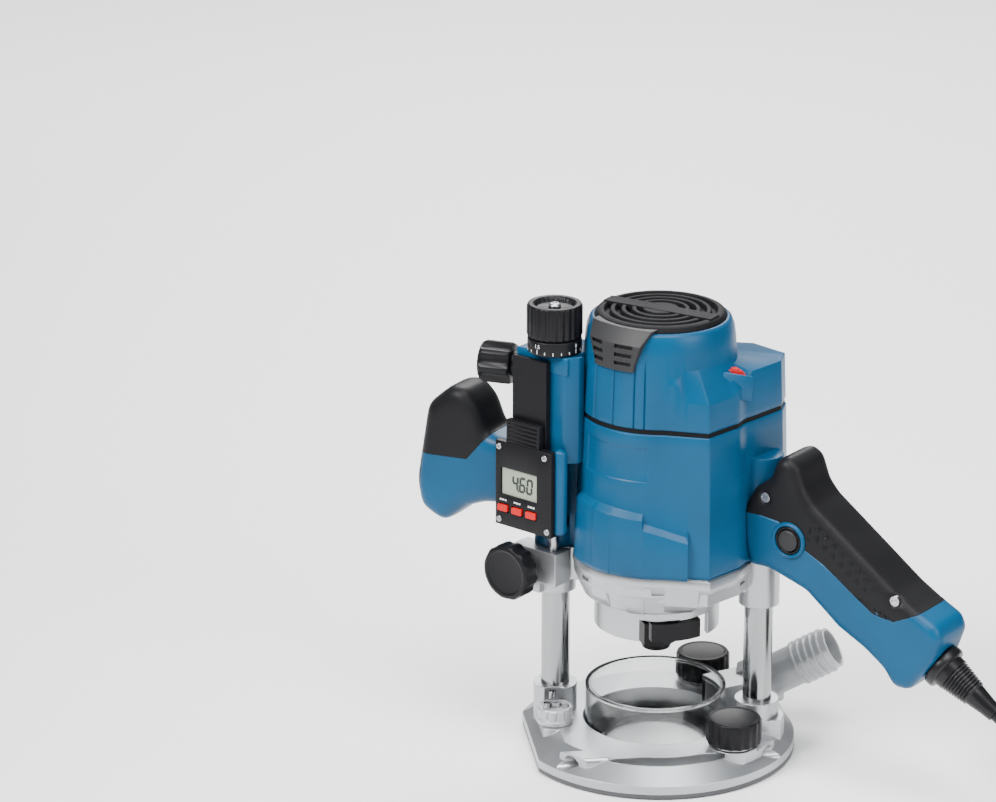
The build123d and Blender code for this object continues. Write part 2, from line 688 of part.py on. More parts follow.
def make_armature_windings():
    lower = turned([(7, CORE_BOTTOM - 0.02), (19, CORE_BOTTOM - 0.02), (17, 142), (9, 142)])
    upper = turned([(7, CORE_TOP + 0.02), (19, CORE_TOP + 0.02), (16, 204), (8, 205)])
    bars = [Rot(0, 0, a) * block((14.2, 18.3), (-1.8, 1.8), (CORE_BOTTOM - 0.5, CORE_TOP + 0.5))
            for a in around(12)]
    whole = lower + upper
    for bar in bars:
        whole += bar
    return whole


def make_commutator():
    body = tube(COMMUTATOR_R, 6, 208, 226)
    for angle in around(24):
        body -= Rot(0, 0, angle) * block((12, 14), (-0.25, 0.25), (207, 227))
    return body


def make_stator_core():
    core = tube(STATOR_R, ARMATURE_R + AIR_GAP, CORE_BOTTOM, CORE_TOP)
    for angle in (90, 270):
        pocket = tube(37, 26, CORE_BOTTOM - 1, CORE_TOP + 1)
        core -= pocket & (Rot(0, 0, angle) * block((0, 50), (-17, 17), (100, 250)))
    return core


def make_field_coils():
    coils = []
    for angle in (90, 270):
        bell = tube(36.5, 26.5, 142, 203)
        bell = bell & (Rot(0, 0, angle) * block((0, 50), (-16.5, 16.5), (142, 203)))
        coils.append(bell)
    return group(coils)


def make_brush_holders():
    holder = block((15, 37), (-5, 5), (BRUSH_Z - 5, BRUSH_Z + 5))
    holder -= block((10, 35), (-3.2, 3.2), (BRUSH_Z - 3.2, BRUSH_Z + 3.2))
    return ring_of(holder, (0, 180))


def make_carbon_brushes():
    brush = block((COMMUTATOR_R + 0.05, 27), (-3.1, 3.1), (BRUSH_Z - 3.1, BRUSH_Z + 3.1))
    return ring_of(brush, (0, 180))


def make_electronics_module():
    potting = block((46, 62), (14, 26), (140, 205))
    for i in range(4):
        potting += block((48, 60), (25, 27.4), (146 + 14 * i, 154 + 14 * i))
    return potting


# ---------------------------------------------------------------- controls

def make_spindle_lock():
    lever = tube(38.4, 34.2, 80, 91) & (Rot(0, 0, -62) * block((20, 44), (-15, 15), (79, 92)))
    lever += Rot(0, 0, -62) * block((24, 36), (-4, 4), (84, 90))
    return lever


def make_speed_dial():
    wheel = across(DIAL_R, -4, 4, 0, 0)
    for angle in around(18):
        wheel -= Rot(0, angle, 0) * across(0.7, -5, 5, DIAL_R + 0.2, 0)
    return DIAL_AT * (wheel - across(1.5, -5, 5, 0, 0))


def make_plunge_lock_knob():
    return LOCK_KNOB_AT * (lobed(12.5, 3, 7, 26, 46) + post(8, 20, 27))


# ---------------------------------------------------------------- depth gauge, in the depth frame

def bracket_room():
    return block((-65.5, -51), (-50.6, -30), (149, 236))


def make_depth_bracket():
    bracket = block((-65, -51.6), (-50.1, -32), (150, 234.6))
    for z in (170, 192, 214):
        bracket -= block((-66, -54), (-47, -30), (z, z + 12))
    tower = post(TOWER_R + 0.02, 100, 260, *TOWER_IN_DEPTH)
    return bracket - tower


def button_pocket(x):
    half_x, half_z = (size / 2 + 0.3 for size in BUTTON_SIZE)
    return block((x - half_x, x + half_x), (GAUGE_FRONT - 1, -56.3), (BUTTON_Z - half_z, BUTTON_Z + half_z))


def make_display_case():
    case = block(GAUGE_X, (GAUGE_FRONT, GAUGE_BACK), GAUGE_Z)
    case = fillet(case.edges().filter_by(Axis.Y), 3)
    case += block((-66.5, -40), (GAUGE_FRONT, -54.4), (180, GRIP_TOP))
    case -= block((-67, -40.2), (-54.4, -40), (100, 250))
    case += block((-50.5, -36), (-49.6, -37.4), (139, 146))
    case += block((-40.1, -36), (-50, -49), (139, 146))
    case -= post(DEPTH_ROD_R + RUNNING_FIT, 130, 150, *ROD_AT)
    for i in range(9):
        z = 178 + 2.7 * i
        case -= block((-64, -43), (GAUGE_FRONT - 1, GAUGE_FRONT + 0.8), (z, z + 1.3))
    case -= block((-70, -43), (GAUGE_FRONT - 1, -57.9), (158, 175))
    for x in BUTTON_XS:
        case -= button_pocket(x)
    for spot in gauge_screw_spots():
        case -= across(1.6, GAUGE_FRONT - 1, -57.1, *spot)
    return case - post(TOWER_R + 0.6, 100, 260, *TOWER_IN_DEPTH)


def gauge_screw_spots():
    return [(x, z) for x in (-71, -35) for z in (142.5, 187.5)]


def make_lcd_window():
    return block((-69.8, -43.2), (GAUGE_FRONT + 0.4, -58), (158.2, 174.8))


def make_display_button(x):
    half_x, half_z = (size / 2 for size in BUTTON_SIZE)
    z_limits = (BUTTON_Z - half_z, BUTTON_Z + half_z)
    button = block((x - half_x, x + half_x), (GAUGE_FRONT - 1, -57.4), z_limits)
    return fillet(button.edges().filter_by(Axis.Y), 0.8)


def make_scale_bar():
    bar = block(BAR_X, BAR_Y, (GAUGE_Z[0] + 3, BAR_TOP))
    return chamfer(bar.faces().sort_by(Axis.Z)[-1].edges(), 0.6)


def make_depth_rod():
    rod = post(DEPTH_ROD_R, *DEPTH_ROD_Z, *ROD_AT)
    return chamfer(rod.edges().filter_by(GeomType.CIRCLE), 0.5)


def make_scale_ring():
    ring = tube(KNOB_R - 0.4, 6.1, TOWER_TOP + 0.3, SCALE_RING_TOP - 0.2)
    return Pos(*ROD_AT, 0) * ring


def make_fine_adjust_knob():
    knob = post(KNOB_R, SCALE_RING_TOP + 0.1, FINE_KNOB_TOP)
    knob = chamfer(knob.faces().sort_by(Axis.Z)[-1].edges(), 1.5)
    for angle in around(24):
        knob -= Rot(0, 0, angle) * post(1, SCALE_RING_TOP - 1, FINE_KNOB_TOP + 1, KNOB_R + 0.5)
    knob -= post(6.1, SCALE_RING_TOP - 1, TOWER_TOP + 11.3)
    knob -= post(DEPTH_ROD_R + 0.5, SCALE_RING_TOP - 1, 268)
    knob -= post(11, FINE_KNOB_TOP - 2.5, FINE_KNOB_TOP + 1)
    knob += post(3.4, 269, FINE_KNOB_TOP - 1.2)
    return Pos(*ROD_AT, 0) * knob


def make_rod_clamp_knob():
    knob = Rot(90, 0, 0) * lobed(CLAMP_R, 3, 12, 54.4, 66) + across(4, -55, -40, 0, 0)
    return Pos(CLAMP_AT[0], 0, CLAMP_AT[1]) * knob


# ---------------------------------------------------------------- cord

def cord_path():
    points = [Vector(*p) for p in CORD_ROUTE]
    runs = [b - a for a, b in zip(points, points[1:])]
    radii = []
    for before, after in zip(runs, runs[1:]):
        turn = before.get_angle(after)
        shorter = min(before.length, after.length)
        radii.append(0.45 * shorter / tan(radians(turn / 2)))
    print("cord radii", [round(r, 1) for r in radii])
    return FilletPolyline(*points, radius=radii)


def make_cord_tube():
    path = cord_path()
    section = Plane(origin=path @ 0, z_dir=path % 0) * Circle(CORD_R)
    cord = sweep(section, path=path)
    print("cord tube length", round(path.length, 1), "volume ratio", round(cord.volume / (
        Circle(CORD_R).area * path.length), 4))
    return cord


def make_cord_coil():
    """The put-away cord: a neat ring of turns, three wide and three high, lying flat."""
    half_width = 3 * CORD_R
    return Pos(*COIL_AT, 0) * tube(COIL_MID_R + half_width, COIL_MID_R - half_width, 0, COIL_TOP)


def make_mains_plug():
    """A two-pin plug that lies on the coil, in line with the turns."""
    outline = [(-18, -14), (6, -14), (20, -6), (20, 6), (6, 14), (-18, 14)]
    body = plate(outline, COIL_TOP, COIL_TOP + 22, 3)
    for y in (-9.5, 9.5):
        body += Pos(-18, y, COIL_TOP + 11) * Rot(0, -90, 0) * Cylinder(2.4, 19, align=UP)
    return Pos(*COIL_AT, 0) * Rot(0, 0, PLUG_TURN) * Pos(0, COIL_MID_R, 0) * body


def main():
    left_handle, left_grip = make_left_parts()
    right_spine, right_grip = make_right_parts()
    nodes = {
        "sole_plate": make_sole_plate(),
        "sole_screws": group(Pos(x, y, 0) * sole_screw() for x, y in sole_screw_spots()),
        "base_casting": make_base_casting(),
        "column_left": make_column(0, LEFT_COLUMN_TOP),
        "column_right": make_column(1, RIGHT_COLUMN_TOP),
        "column_bolts": make_column_bolts(),
        "column_springs": make_column_springs(),
        "turret_pivot": make_turret_pivot(),
        "dust_hood": make_dust_hood(),
        "dust_spout": make_dust_spout(),
        "cord_tube": make_cord_tube(),
        "cord_coil": make_cord_coil(),
        "mains_plug": make_mains_plug(),
        "stop_turret": make_stop_turret(),
        "turret_screws": make_turret_screws(),
        "guide_clamp_knob_front": make_guide_clamp_knob(-1),
        "guide_clamp_knob_back": make_guide_clamp_knob(1),
        "hood_latch": make_hood_latch(),
        "left_handle": LEFT * left_handle - DEPTH * bracket_room(),
        "left_grip": LEFT * left_grip,
        "plunge_lock_knob": make_plunge_lock_knob(),
    }
    in_motor_frame = {
        "plunge_casting": make_plunge_casting(),
        "motor_housing": make_motor_housing(),
        "top_cover": make_top_cover(),
        "vent_cap": make_vent_cap(),
        "column_bushes": make_column_bushes(),
        "bearing_outer_races": make_outer_races(),
        "bearing_inner_races": make_inner_races(),
        "stator_core": make_stator_core(),
        "field_coils": make_field_coils(),
        "brush_holders": make_brush_holders(),
        "carbon_brushes": make_carbon_brushes(),
        "electronics_module": make_electronics_module(),
        "spindle": make_spindle(),
        "armature_core": make_armature_core(),
        "armature_windings": make_armature_windings(),
        "commutator": make_commutator(),
        "cooling_fan": make_fan(),
        "collet": make_collet(),
        "collet_nut": make_collet_nut(),
        "spindle_lock": make_spindle_lock(),
        "speed_dial": make_speed_dial(),
    }
    in_depth_frame = {
        "depth_bracket": make_depth_bracket(),
        "display_case": make_display_case(),
        "lcd_window": make_lcd_window(),
        "scale_bar": make_scale_bar(),
        "depth_rod": make_depth_rod(),
        "fine_adjust_knob": make_fine_adjust_knob(),
        "scale_ring": make_scale_ring(),
        "rod_clamp_knob": make_rod_clamp_knob(),
    }
    for name, x in zip(("left", "middle", "right"), BUTTON_XS):
        in_depth_frame["display_button_" + name] = make_display_button(x)
    in_right_frame = {
        "right_handle_spine": right_spine,
        "right_handle_grip": right_grip,
        "switch_module": make_switch_module(),
        "strain_relief": make_strain_relief(),
        "trigger": trigger_solid(),
        "lock_button": make_lock_button(),
        "grip_screws": make_grip_screws(),
    }
    frames = ((MOTOR, in_motor_frame), (DEPTH, in_depth_frame), (RIGHT, in_right_frame))
    for frame, shapes in frames:
        nodes.update({name: place(frame, shape) for name, shape in shapes.items()})
    os.makedirs("parts", exist_ok=True)
    for name, shape in nodes.items():
        export_step(shape, "parts/" + name + ".step")
    return nodes


if __name__ == "__main__":
    main()
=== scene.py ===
import bmesh
import bpy
import json
from math import atan2, cos, degrees, hypot, radians, sin
from mathutils import Matrix, Vector


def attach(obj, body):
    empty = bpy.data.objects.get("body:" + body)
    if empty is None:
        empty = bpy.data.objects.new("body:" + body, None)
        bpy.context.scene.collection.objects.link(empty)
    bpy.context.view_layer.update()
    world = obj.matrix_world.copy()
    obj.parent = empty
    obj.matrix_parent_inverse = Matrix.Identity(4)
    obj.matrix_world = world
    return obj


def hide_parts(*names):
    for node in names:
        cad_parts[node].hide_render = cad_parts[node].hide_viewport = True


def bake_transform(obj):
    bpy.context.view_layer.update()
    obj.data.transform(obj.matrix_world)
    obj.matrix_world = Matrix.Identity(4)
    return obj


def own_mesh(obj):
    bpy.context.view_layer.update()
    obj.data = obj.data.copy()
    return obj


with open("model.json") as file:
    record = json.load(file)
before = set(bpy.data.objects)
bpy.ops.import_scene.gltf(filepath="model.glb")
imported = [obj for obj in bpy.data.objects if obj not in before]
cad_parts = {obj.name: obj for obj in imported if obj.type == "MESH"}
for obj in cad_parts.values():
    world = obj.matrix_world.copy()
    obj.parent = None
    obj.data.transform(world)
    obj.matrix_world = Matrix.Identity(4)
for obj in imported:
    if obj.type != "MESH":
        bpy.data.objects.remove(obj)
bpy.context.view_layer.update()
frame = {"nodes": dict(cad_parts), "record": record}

# Plunge router: the looks. Sizes are in millimetres times MM, in the frames that the parts are drawn in:
# the motor unit, the depth gauge, each handle, and the row frame.
MM = 0.001
MOTOR = Matrix.Rotation(radians(-19), 4, "Z")
DEPTH = Matrix.Rotation(radians(-47.5), 4, "Z")
RIGHT = MOTOR @ Matrix.Translation((60 * MM, 0, 0)) @ Matrix.Rotation(radians(-25), 4, "Z")
LEFT = MOTOR @ Matrix.Translation((-60.7 * MM, 0, 0)) @ Matrix.Rotation(radians(160), 4, "Z")
ROW = Matrix.Identity(4)

CAMERA_AT = (-0.3567, -2.0227, 0.9184)
CAMERA_TURN = (radians(71.08), 0, radians(-7.386))
CAMERA_LENS = 135.2

# Cord: the free stretch, then the put-away coil
CORD_R = 4 * MM
COIL_AT = (250, -108)
COIL_COLUMNS = (52, 44, 36)
COIL_LAYERS = (4, 12, 20)
COIL_STEPS = 24
COIL_START = -25
PLUG_TURN = -60
CORD_ROUTE = [
    (172.57, -131.4, 64.67),
    (184.5, -142.9, 54.7),
    (196.5, -153.5, 38.5),
    (209.5, -162.5, 21.5),
    (227.0, -169.5, 8.6),
    (249.0, -171.0, 4.0),
    (271.0, -164.5, 4.0),
    (288.0, -151.0, 4.0),
]


# ---------------------------------------------------------------- stage

def make_stage():
    """Camera, a large pale floor and soft studio lights."""
    camera_data = bpy.data.cameras.new("camera")
    camera = bpy.data.objects.new("camera", camera_data)
    bpy.context.scene.collection.objects.link(camera)
    camera.location = CAMERA_AT
    camera.rotation_euler = CAMERA_TURN
    camera_data.lens = CAMERA_LENS
    camera_data.sensor_width = 36
    camera_data.clip_start = 0.05
    bpy.context.scene.camera = camera
    deselect()
    bpy.ops.mesh.primitive_plane_add(size=14, location=(0, 0, -0.0005))
    floor = bpy.context.object
    floor.name = "floor"
    floor.data.materials.append(floor_material())
    for name, at, size, power in (
            ("key_light", (-1.9, -0.9, 2.1), 1.0, 130),
            ("fill_light", (1.3, -1.6, 1.2), 1.0, 30),
            ("back_light", (0.4, 1.9, 1.9), 1.5, 85),
            ("top_light", (0.1, -0.7, 2.5), 1.5, 84)):
        light_data = bpy.data.lights.new(name, "AREA")
        light_data.size = size
        light_data.energy = power
        light = bpy.data.objects.new(name, light_data)
        light.location = at
        aim = Vector((0.02, -0.02, 0.12)) - Vector(at)
        light.rotation_euler = aim.to_track_quat("-Z", "Y").to_euler()
        bpy.context.scene.collection.objects.link(light)
    for name, x in (("left_card", -0.95), ("right_card", 0.95)):
        deselect()
        bpy.ops.mesh.primitive_plane_add(size=1, location=(x, 0.15, 0.38), rotation=(0, radians(90), 0))
        card = bpy.context.object
        card.name = name
        card.scale = (0.75, 1.1, 1)
        card.data.materials.append(card_material())
        card.visible_camera = False
    world = bpy.data.worlds.new("studio")
    world.use_nodes = True
    background = world.node_tree.nodes["Background"]
    background.inputs["Color"].default_value = (0.93, 0.95, 1.0, 1)
    background.inputs["Strength"].default_value = 0.32
    bpy.context.scene.world = world


# ---------------------------------------------------------------- materials

def new_group(name, inputs, outputs):
    """A shader node group with named sockets, and its two end nodes."""
    group = bpy.data.node_groups.new(name, "ShaderNodeTree")
    for label, value in inputs:
        socket = group.interface.new_socket(label, in_out="INPUT", socket_type="NodeSocketFloat")
        socket.default_value = value
    for label, kind in outputs:
        group.interface.new_socket(label, in_out="OUTPUT", socket_type=kind)
    ends = group.nodes.new("NodeGroupInput"), group.nodes.new("NodeGroupOutput")
    return group, ends[0], ends[1]


def math_node(nodes, links, kind, a, b):
    node = nodes.new("ShaderNodeMath")
    node.operation = kind
    for socket, value in zip(node.inputs, (a, b)):
        if isinstance(value, (int, float)):
            socket.default_value = value
        else:
            links.new(value, socket)
    return node.outputs[0]


def noise_node(nodes, links, place, scale, detail):
    node = nodes.new("ShaderNodeTexNoise")
    node.inputs["Detail"].default_value = detail
    links.new(place, node.inputs["Vector"])
    if isinstance(scale, (int, float)):
        node.inputs["Scale"].default_value = scale
    else:
        links.new(scale, node.inputs["Scale"])
    return node.outputs["Fac"]


def make_grain_group():
    """Fine moulded or blasted grain, and the slow mottle of handling over it."""
    group, entry, exit_ = new_group(
        "surface_grain", [("Grain Scale", 1800.0), ("Mottle Scale", 24.0)],
        [("Height", "NodeSocketFloat"), ("Mottle", "NodeSocketFloat")])
    nodes, links = group.nodes, group.links
    place = nodes.new("ShaderNodeTexCoord").outputs["Object"]
    fine = noise_node(nodes, links, place, entry.outputs["Grain Scale"], 2.0)
    slow = noise_node(nodes, links, place, entry.outputs["Mottle Scale"], 4.0)
    links.new(fine, exit_.inputs["Height"])
    links.new(slow, exit_.inputs["Mottle"])
    return group


def make_edge_group():
    """Rounded edges, and a mask that is high where an edge would be rubbed."""
    group, entry, exit_ = new_group(
        "rubbed_edges", [("Amount", 4.0)],
        [("Normal", "NodeSocketVector"), ("Wear", "NodeSocketFloat")])
    nodes, links = group.nodes, group.links
    bevel = nodes.new("ShaderNodeBevel")
    bevel.samples = 4
    bevel.inputs["Radius"].default_value = 0.7 * MM
    flat = nodes.new("ShaderNodeNewGeometry").outputs["Normal"]
    turn = nodes.new("ShaderNodeVectorMath")
    turn.operation = "DOT_PRODUCT"
    links.new(bevel.outputs["Normal"], turn.inputs[0])
    links.new(flat, turn.inputs[1])
    bend = math_node(nodes, links, "SUBTRACT", 1.0, turn.outputs["Value"])
    strong = math_node(nodes, links, "MULTIPLY", bend, entry.outputs["Amount"])
    place = nodes.new("ShaderNodeTexCoord").outputs["Object"]
    patchy = noise_node(nodes, links, place, 160.0, 3.0)
    broken = math_node(nodes, links, "MULTIPLY", strong, patchy)
    held = math_node(nodes, links, "MINIMUM", broken, 1.0)
    links.new(bevel.outputs["Normal"], exit_.inputs["Normal"])
    links.new(held, exit_.inputs["Wear"])
    return group


GRAIN = make_grain_group()
EDGES = make_edge_group()


def surface(name, colour, roughness, metallic=0.0, grain=1800.0, depth=0.00004, mottle=24.0,
            shade=0.12, rubbed=None, wear=3.0, coat=0.0, shine=0.5):
    """A solid finish: colour with slow mottle, grain in the bump and lighter rubbed edges."""
    material = bpy.data.materials.new(name)
    material.use_nodes = True
    nodes, links = material.node_tree.nodes, material.node_tree.links
    shader = nodes["Principled BSDF"]
    shader.inputs["Metallic"].default_value = metallic
    shader.inputs["Specular IOR Level"].default_value = shine
    shader.inputs["Coat Weight"].default_value = coat
    shader.inputs["Coat Roughness"].default_value = 0.2
    skin = nodes.new("ShaderNodeGroup")
    skin.node_tree = GRAIN
    skin.inputs["Grain Scale"].default_value = grain
    skin.inputs["Mottle Scale"].default_value = mottle
    edge = nodes.new("ShaderNodeGroup")
    edge.node_tree = EDGES
    edge.inputs["Amount"].default_value = wear
    ramp = nodes.new("ShaderNodeValToRGB")
    for stop, factor in zip(ramp.color_ramp.elements, (1 - shade, 1 + shade)):
        stop.color = [min(1.0, c * factor) for c in colour] + [1]
    ramp.color_ramp.elements[0].position = 0.3
    ramp.color_ramp.elements[1].position = 0.7
    links.new(skin.outputs["Mottle"], ramp.inputs["Fac"])
    blend = nodes.new("ShaderNodeMix")
    blend.data_type = "RGBA"
    worn = rubbed or [min(1.0, c * 1.6 + 0.015) for c in colour]
    blend.inputs["B"].default_value = [*worn, 1]
    links.new(edge.outputs["Wear"], blend.inputs["Factor"])
    links.new(ramp.outputs["Color"], blend.inputs["A"])
    links.new(blend.outputs["Result"], shader.inputs["Base Color"])
    spread = nodes.new("ShaderNodeMapRange")
    spread.inputs["To Min"].default_value = roughness - 0.06
    spread.inputs["To Max"].default_value = roughness + 0.08
    links.new(skin.outputs["Mottle"], spread.inputs["Value"])
    links.new(spread.outputs["Result"], shader.inputs["Roughness"])
    bump = nodes.new("ShaderNodeBump")
    bump.inputs["Strength"].default_value = 0.6
    bump.inputs["Distance"].default_value = depth
    links.new(skin.outputs["Height"], bump.inputs["Height"])
    links.new(edge.outputs["Normal"], bump.inputs["Normal"])
    links.new(bump.outputs["Normal"], shader.inputs["Normal"])
    return material


def clear_plastic_material():
    """Clear moulded plastic with faint scuffs."""
    material = surface("clear_plastic", (0.93, 0.96, 0.97), 0.08, grain=500.0, depth=0.00001, wear=0.4)
    shader = material.node_tree.nodes["Principled BSDF"]
    shader.inputs["Transmission Weight"].default_value = 1.0
    shader.inputs["IOR"].default_value = 1.47
    return material


def floor_material():
    """The pale, even studio floor."""
    material = bpy.data.materials.new("floor")
    material.use_nodes = True
    shader = material.node_tree.nodes["Principled BSDF"]
    shader.inputs["Base Color"].default_value = (0.9, 0.9, 0.9, 1)
    shader.inputs["Roughness"].default_value = 0.85
    return material


def card_material():
    """Black cloth of the cards at the sides, which gives the chrome its dark bands."""
    material = bpy.data.materials.new("card")
    material.use_nodes = True
    shader = material.node_tree.nodes["Principled BSDF"]
    shader.inputs["Base Color"].default_value = (0.01, 0.01, 0.01, 1)
    shader.inputs["Roughness"].default_value = 1.0
    return material


def make_materials():
    return {
        "blue_plastic": surface("blue_plastic", (0.001, 0.056, 0.13), 0.36,
                                rubbed=(0.016, 0.13, 0.25), shine=0.2),
        "soft_grip": surface("soft_grip", (0.007, 0.007, 0.008), 0.44,
                             grain=1400.0, depth=0.00008, shine=0.14),
        "black_plastic": surface("black_plastic", (0.006, 0.006, 0.007), 0.36, shine=0.15),
        "matt_black": surface("matt_black", (0.005, 0.005, 0.006), 0.62, shine=0.1),
        "vent_plastic": surface("vent_plastic", (0.022, 0.022, 0.023), 0.45, shine=0.2),
        "cast_aluminium": surface("cast_aluminium", (0.4, 0.41, 0.42), 0.32, metallic=0.85,
                                  grain=1500.0, depth=0.00006, shade=0.05),
        "chrome_steel": surface("chrome_steel", (0.3, 0.305, 0.31), 0.15, metallic=1.0, depth=0.000002,
                                shade=0.03, wear=0.5),
        "steel": surface("steel", (0.4, 0.4, 0.42), 0.28, metallic=1.0, depth=0.00001, shade=0.08),
        "clear_plastic": clear_plastic_material(),
        "grey_plastic": surface("grey_plastic", (0.42, 0.43, 0.44), 0.34, metallic=0.5, shade=0.06),
        "sole_black": surface("sole_black", (0.05, 0.052, 0.056), 0.4),
        "copper": surface("copper", (0.62, 0.26, 0.11), 0.35, metallic=1.0),
        "laminated_steel": surface("laminated_steel", (0.3, 0.3, 0.31), 0.5, metallic=0.9),
        "carbon": surface("carbon", (0.03, 0.03, 0.03), 0.6),
        "bronze": surface("bronze", (0.5, 0.36, 0.17), 0.4, metallic=1.0),
        "red_plastic": surface("red_plastic", (0.5, 0.006, 0.006), 0.34, shine=0.2),
        "lcd": surface("lcd", (0.27, 0.31, 0.24), 0.45, depth=0.000005, shade=0.03, wear=0.0),
        "lcd_ink": surface("lcd_ink", (0.012, 0.016, 0.013), 0.4, wear=0.0),
        "cord_rubber": surface("cord_rubber", (0.006, 0.006, 0.007), 0.3,
                               grain=900.0, depth=0.00005, shine=0.25),
        "white_ink": surface("white_ink", (0.85, 0.85, 0.85), 0.5, wear=0.0),
    }


# ---------------------------------------------------------------- modelling steps

def deselect():
    if bpy.context.object and bpy.context.object.mode != "OBJECT":
        bpy.ops.object.mode_set(mode="OBJECT")
    bpy.ops.object.select_all(action="DESELECT")


def activate(piece):
    deselect()
    piece.select_set(True)
    bpy.context.view_layer.objects.active = piece


def named(name):
    """The new primitive under its own name, with its place in its mesh."""
    piece = bpy.context.object
    piece.name = name
    piece.data.name = name
    bpy.ops.object.transform_apply(location=True, rotation=True, scale=True)
    return piece


def cube(name, x, y, z):
    """A block between two limits on each axis."""
    deselect()
    middle = [sum(limits) / 2 * MM for limits in (x, y, z)]
    size = [(limits[1] - limits[0]) * MM for limits in (x, y, z)]
    bpy.ops.mesh.primitive_cube_add(size=1, location=middle, scale=size)
    return named(name)


def edit(piece):
    activate(piece)
    bpy.ops.object.mode_set(mode="EDIT")
    bpy.ops.mesh.select_mode(type="FACE")


def done():
    bpy.ops.object.mode_set(mode="OBJECT")


def pick(piece, test):
    """In edit mode, selects just the faces whose middle (mm) and normal pass a test."""
    bpy.ops.mesh.select_all(action="DESELECT")
    mesh = bmesh.from_edit_mesh(piece.data)
    for face in mesh.faces:
        face.select_set(bool(test(face.calc_center_median() / MM, face.normal)))
    mesh.select_flush_mode()
    bmesh.update_edit_mesh(piece.data)


def push(distance):
    """Extrudes the selected faces out along their normals."""
    bpy.ops.mesh.extrude_region_shrink_fatten(TRANSFORM_OT_shrink_fatten={"value": distance * MM})


def bevelled(piece, width, angle=30, segments=2):
    """Rounds the edges that are sharper than an angle, and shades the rest smooth."""
    activate(piece)
    bevel = piece.modifiers.new("bevel", "BEVEL")
    bevel.width = width * MM
    bevel.segments = segments
    bevel.limit_method = "ANGLE"
    bevel.angle_limit = radians(angle)
    bpy.ops.object.modifier_apply(modifier="bevel")
    bpy.ops.object.shade_smooth_by_angle(angle=radians(40))
    return piece


def settle(piece, place, body, slot, material, *nodes):
    """Moves a finished piece from its own frame to the row frame and lets it ride on its body."""
    activate(piece)
    piece.matrix_world = place @ piece.matrix_world
    bpy.ops.object.transform_apply(location=True, rotation=True, scale=True)
    piece.data.materials.clear()
    piece.data.materials.append(MATERIALS[material])
    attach(piece, body)
    if nodes:
        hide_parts(*nodes)
    return piece


def turned(name, profile, sides=64, at=(0, 0)):
    """A lathe piece: a ring extruded through a (radius, height) outline, closed or ending in two discs."""
    closed = profile[0] == profile[-1]
    deselect()
    bpy.ops.mesh.primitive_circle_add(
        vertices=sides, radius=profile[0][0] * MM, fill_type="NOTHING", location=(0, 0, profile[0][1] * MM))
    piece = named(name)
    bpy.ops.object.mode_set(mode="EDIT")
    bpy.ops.mesh.select_mode(type="EDGE")
    bpy.ops.mesh.select_all(action="SELECT")
    if not closed:
        bpy.ops.mesh.edge_face_add()
    radius, height = profile[0]
    for next_radius, next_height in profile[1:]:
        bpy.ops.mesh.extrude_region_move(
            TRANSFORM_OT_translate={"value": (0, 0, (next_height - height) * MM)})
        ratio = next_radius / radius
        bpy.ops.transform.resize(value=(ratio, ratio, 1), center_override=(0, 0, next_height * MM))
        radius, height = next_radius, next_height
    bpy.ops.mesh.select_all(action="SELECT")
    if closed:
        bpy.ops.mesh.remove_doubles(threshold=0.00001)
    bpy.ops.mesh.normals_make_consistent(inside=False)
    bpy.ops.transform.translate(value=(at[0] * MM, at[1] * MM, 0))
    done()
    return piece


def ray_length(outline, angle):
    """How far out a ray from the spindle axis leaves a flat-sided outline, or 0 where it misses."""
    ray = Vector((cos(angle), sin(angle)))
    reach = 0.0
    for a, b in zip(outline, outline[1:] + outline[:1]):
        side = Vector(b) - Vector(a)
        across = ray.x * side.y - ray.y * side.x
        if abs(across) < 1e-9:
            continue
        along = (a[0] * side.y - a[1] * side.x) / across
        share = (a[0] * ray.y - a[1] * ray.x) / across
        if along > 0 and -1e-6 <= share <= 1 + 1e-6:
            reach = max(reach, along)
    return reach


def lofted(name, angles, rows):
    """A closed shell whose rows give, for each angle, a (radius, height) round the spindle axis."""
    deselect()
    bpy.ops.mesh.primitive_circle_add(vertices=len(angles), radius=50 * MM, fill_type="NGON")
    piece = named(name)
    bpy.ops.object.mode_set(mode="EDIT")
    bpy.ops.mesh.select_mode(type="VERT")
    bpy.ops.mesh.select_all(action="SELECT")
    for number, row in enumerate(rows):
        if number:
            bpy.ops.mesh.extrude_region_move()
        mesh = bmesh.from_edit_mesh(piece.data)
        ring = sorted((v for v in mesh.verts if v.select), key=lambda v: atan2(v.co.y, v.co.x))
        for vertex, angle in zip(ring, angles):
            radius, height = row(angle)
            vertex.co = (radius * cos(angle) * MM, radius * sin(angle) * MM, height * MM)
        bmesh.update_edit_mesh(piece.data)
    bpy.ops.mesh.select_all(action="SELECT")
    bpy.ops.mesh.normals_make_consistent(inside=False)
    done()
    return piece


# ---------------------------------------------------------------- motor unit

DRUM_R = 49
HOUSING_FOOT = 124
COLUMN_X = 60.7
SLEEVE_R = 12.6
TOWER_TOP = 247
FRONT_CORNER = [(0, -48), (38, -48), (53, -25), (57, -10), (57, 20), (0, 20)]
REAR_LOBE = [(30, -20), (57, -14), (73, 14), (73, 30), (52, 46), (30, 46), (14, 36)]
TAPER = 0.035


def housing_reach(angle):
    return max(DRUM_R, ray_length(FRONT_CORNER, angle), ray_length(REAR_LOBE, angle))


# Ledges round the housing: from and to (degrees), height at each end, and how far they stand proud
LEDGES = [
    (-149, -127, 166, 165, 3.8),
    (-127, -113, 165, 164, 4.5),
    (-113, -91, 164, 162.5, 3.8),
    (-91, -63, 157, 150, 4.0),
    (76, 96, 157, 160, 2.4),
    (96, 124, 160, 163, 3.0),
    (124, 146, 163, 160, 2.4),
]
PLAIN_LEDGE = (158, 0)
LEDGE_DROP = 3.2


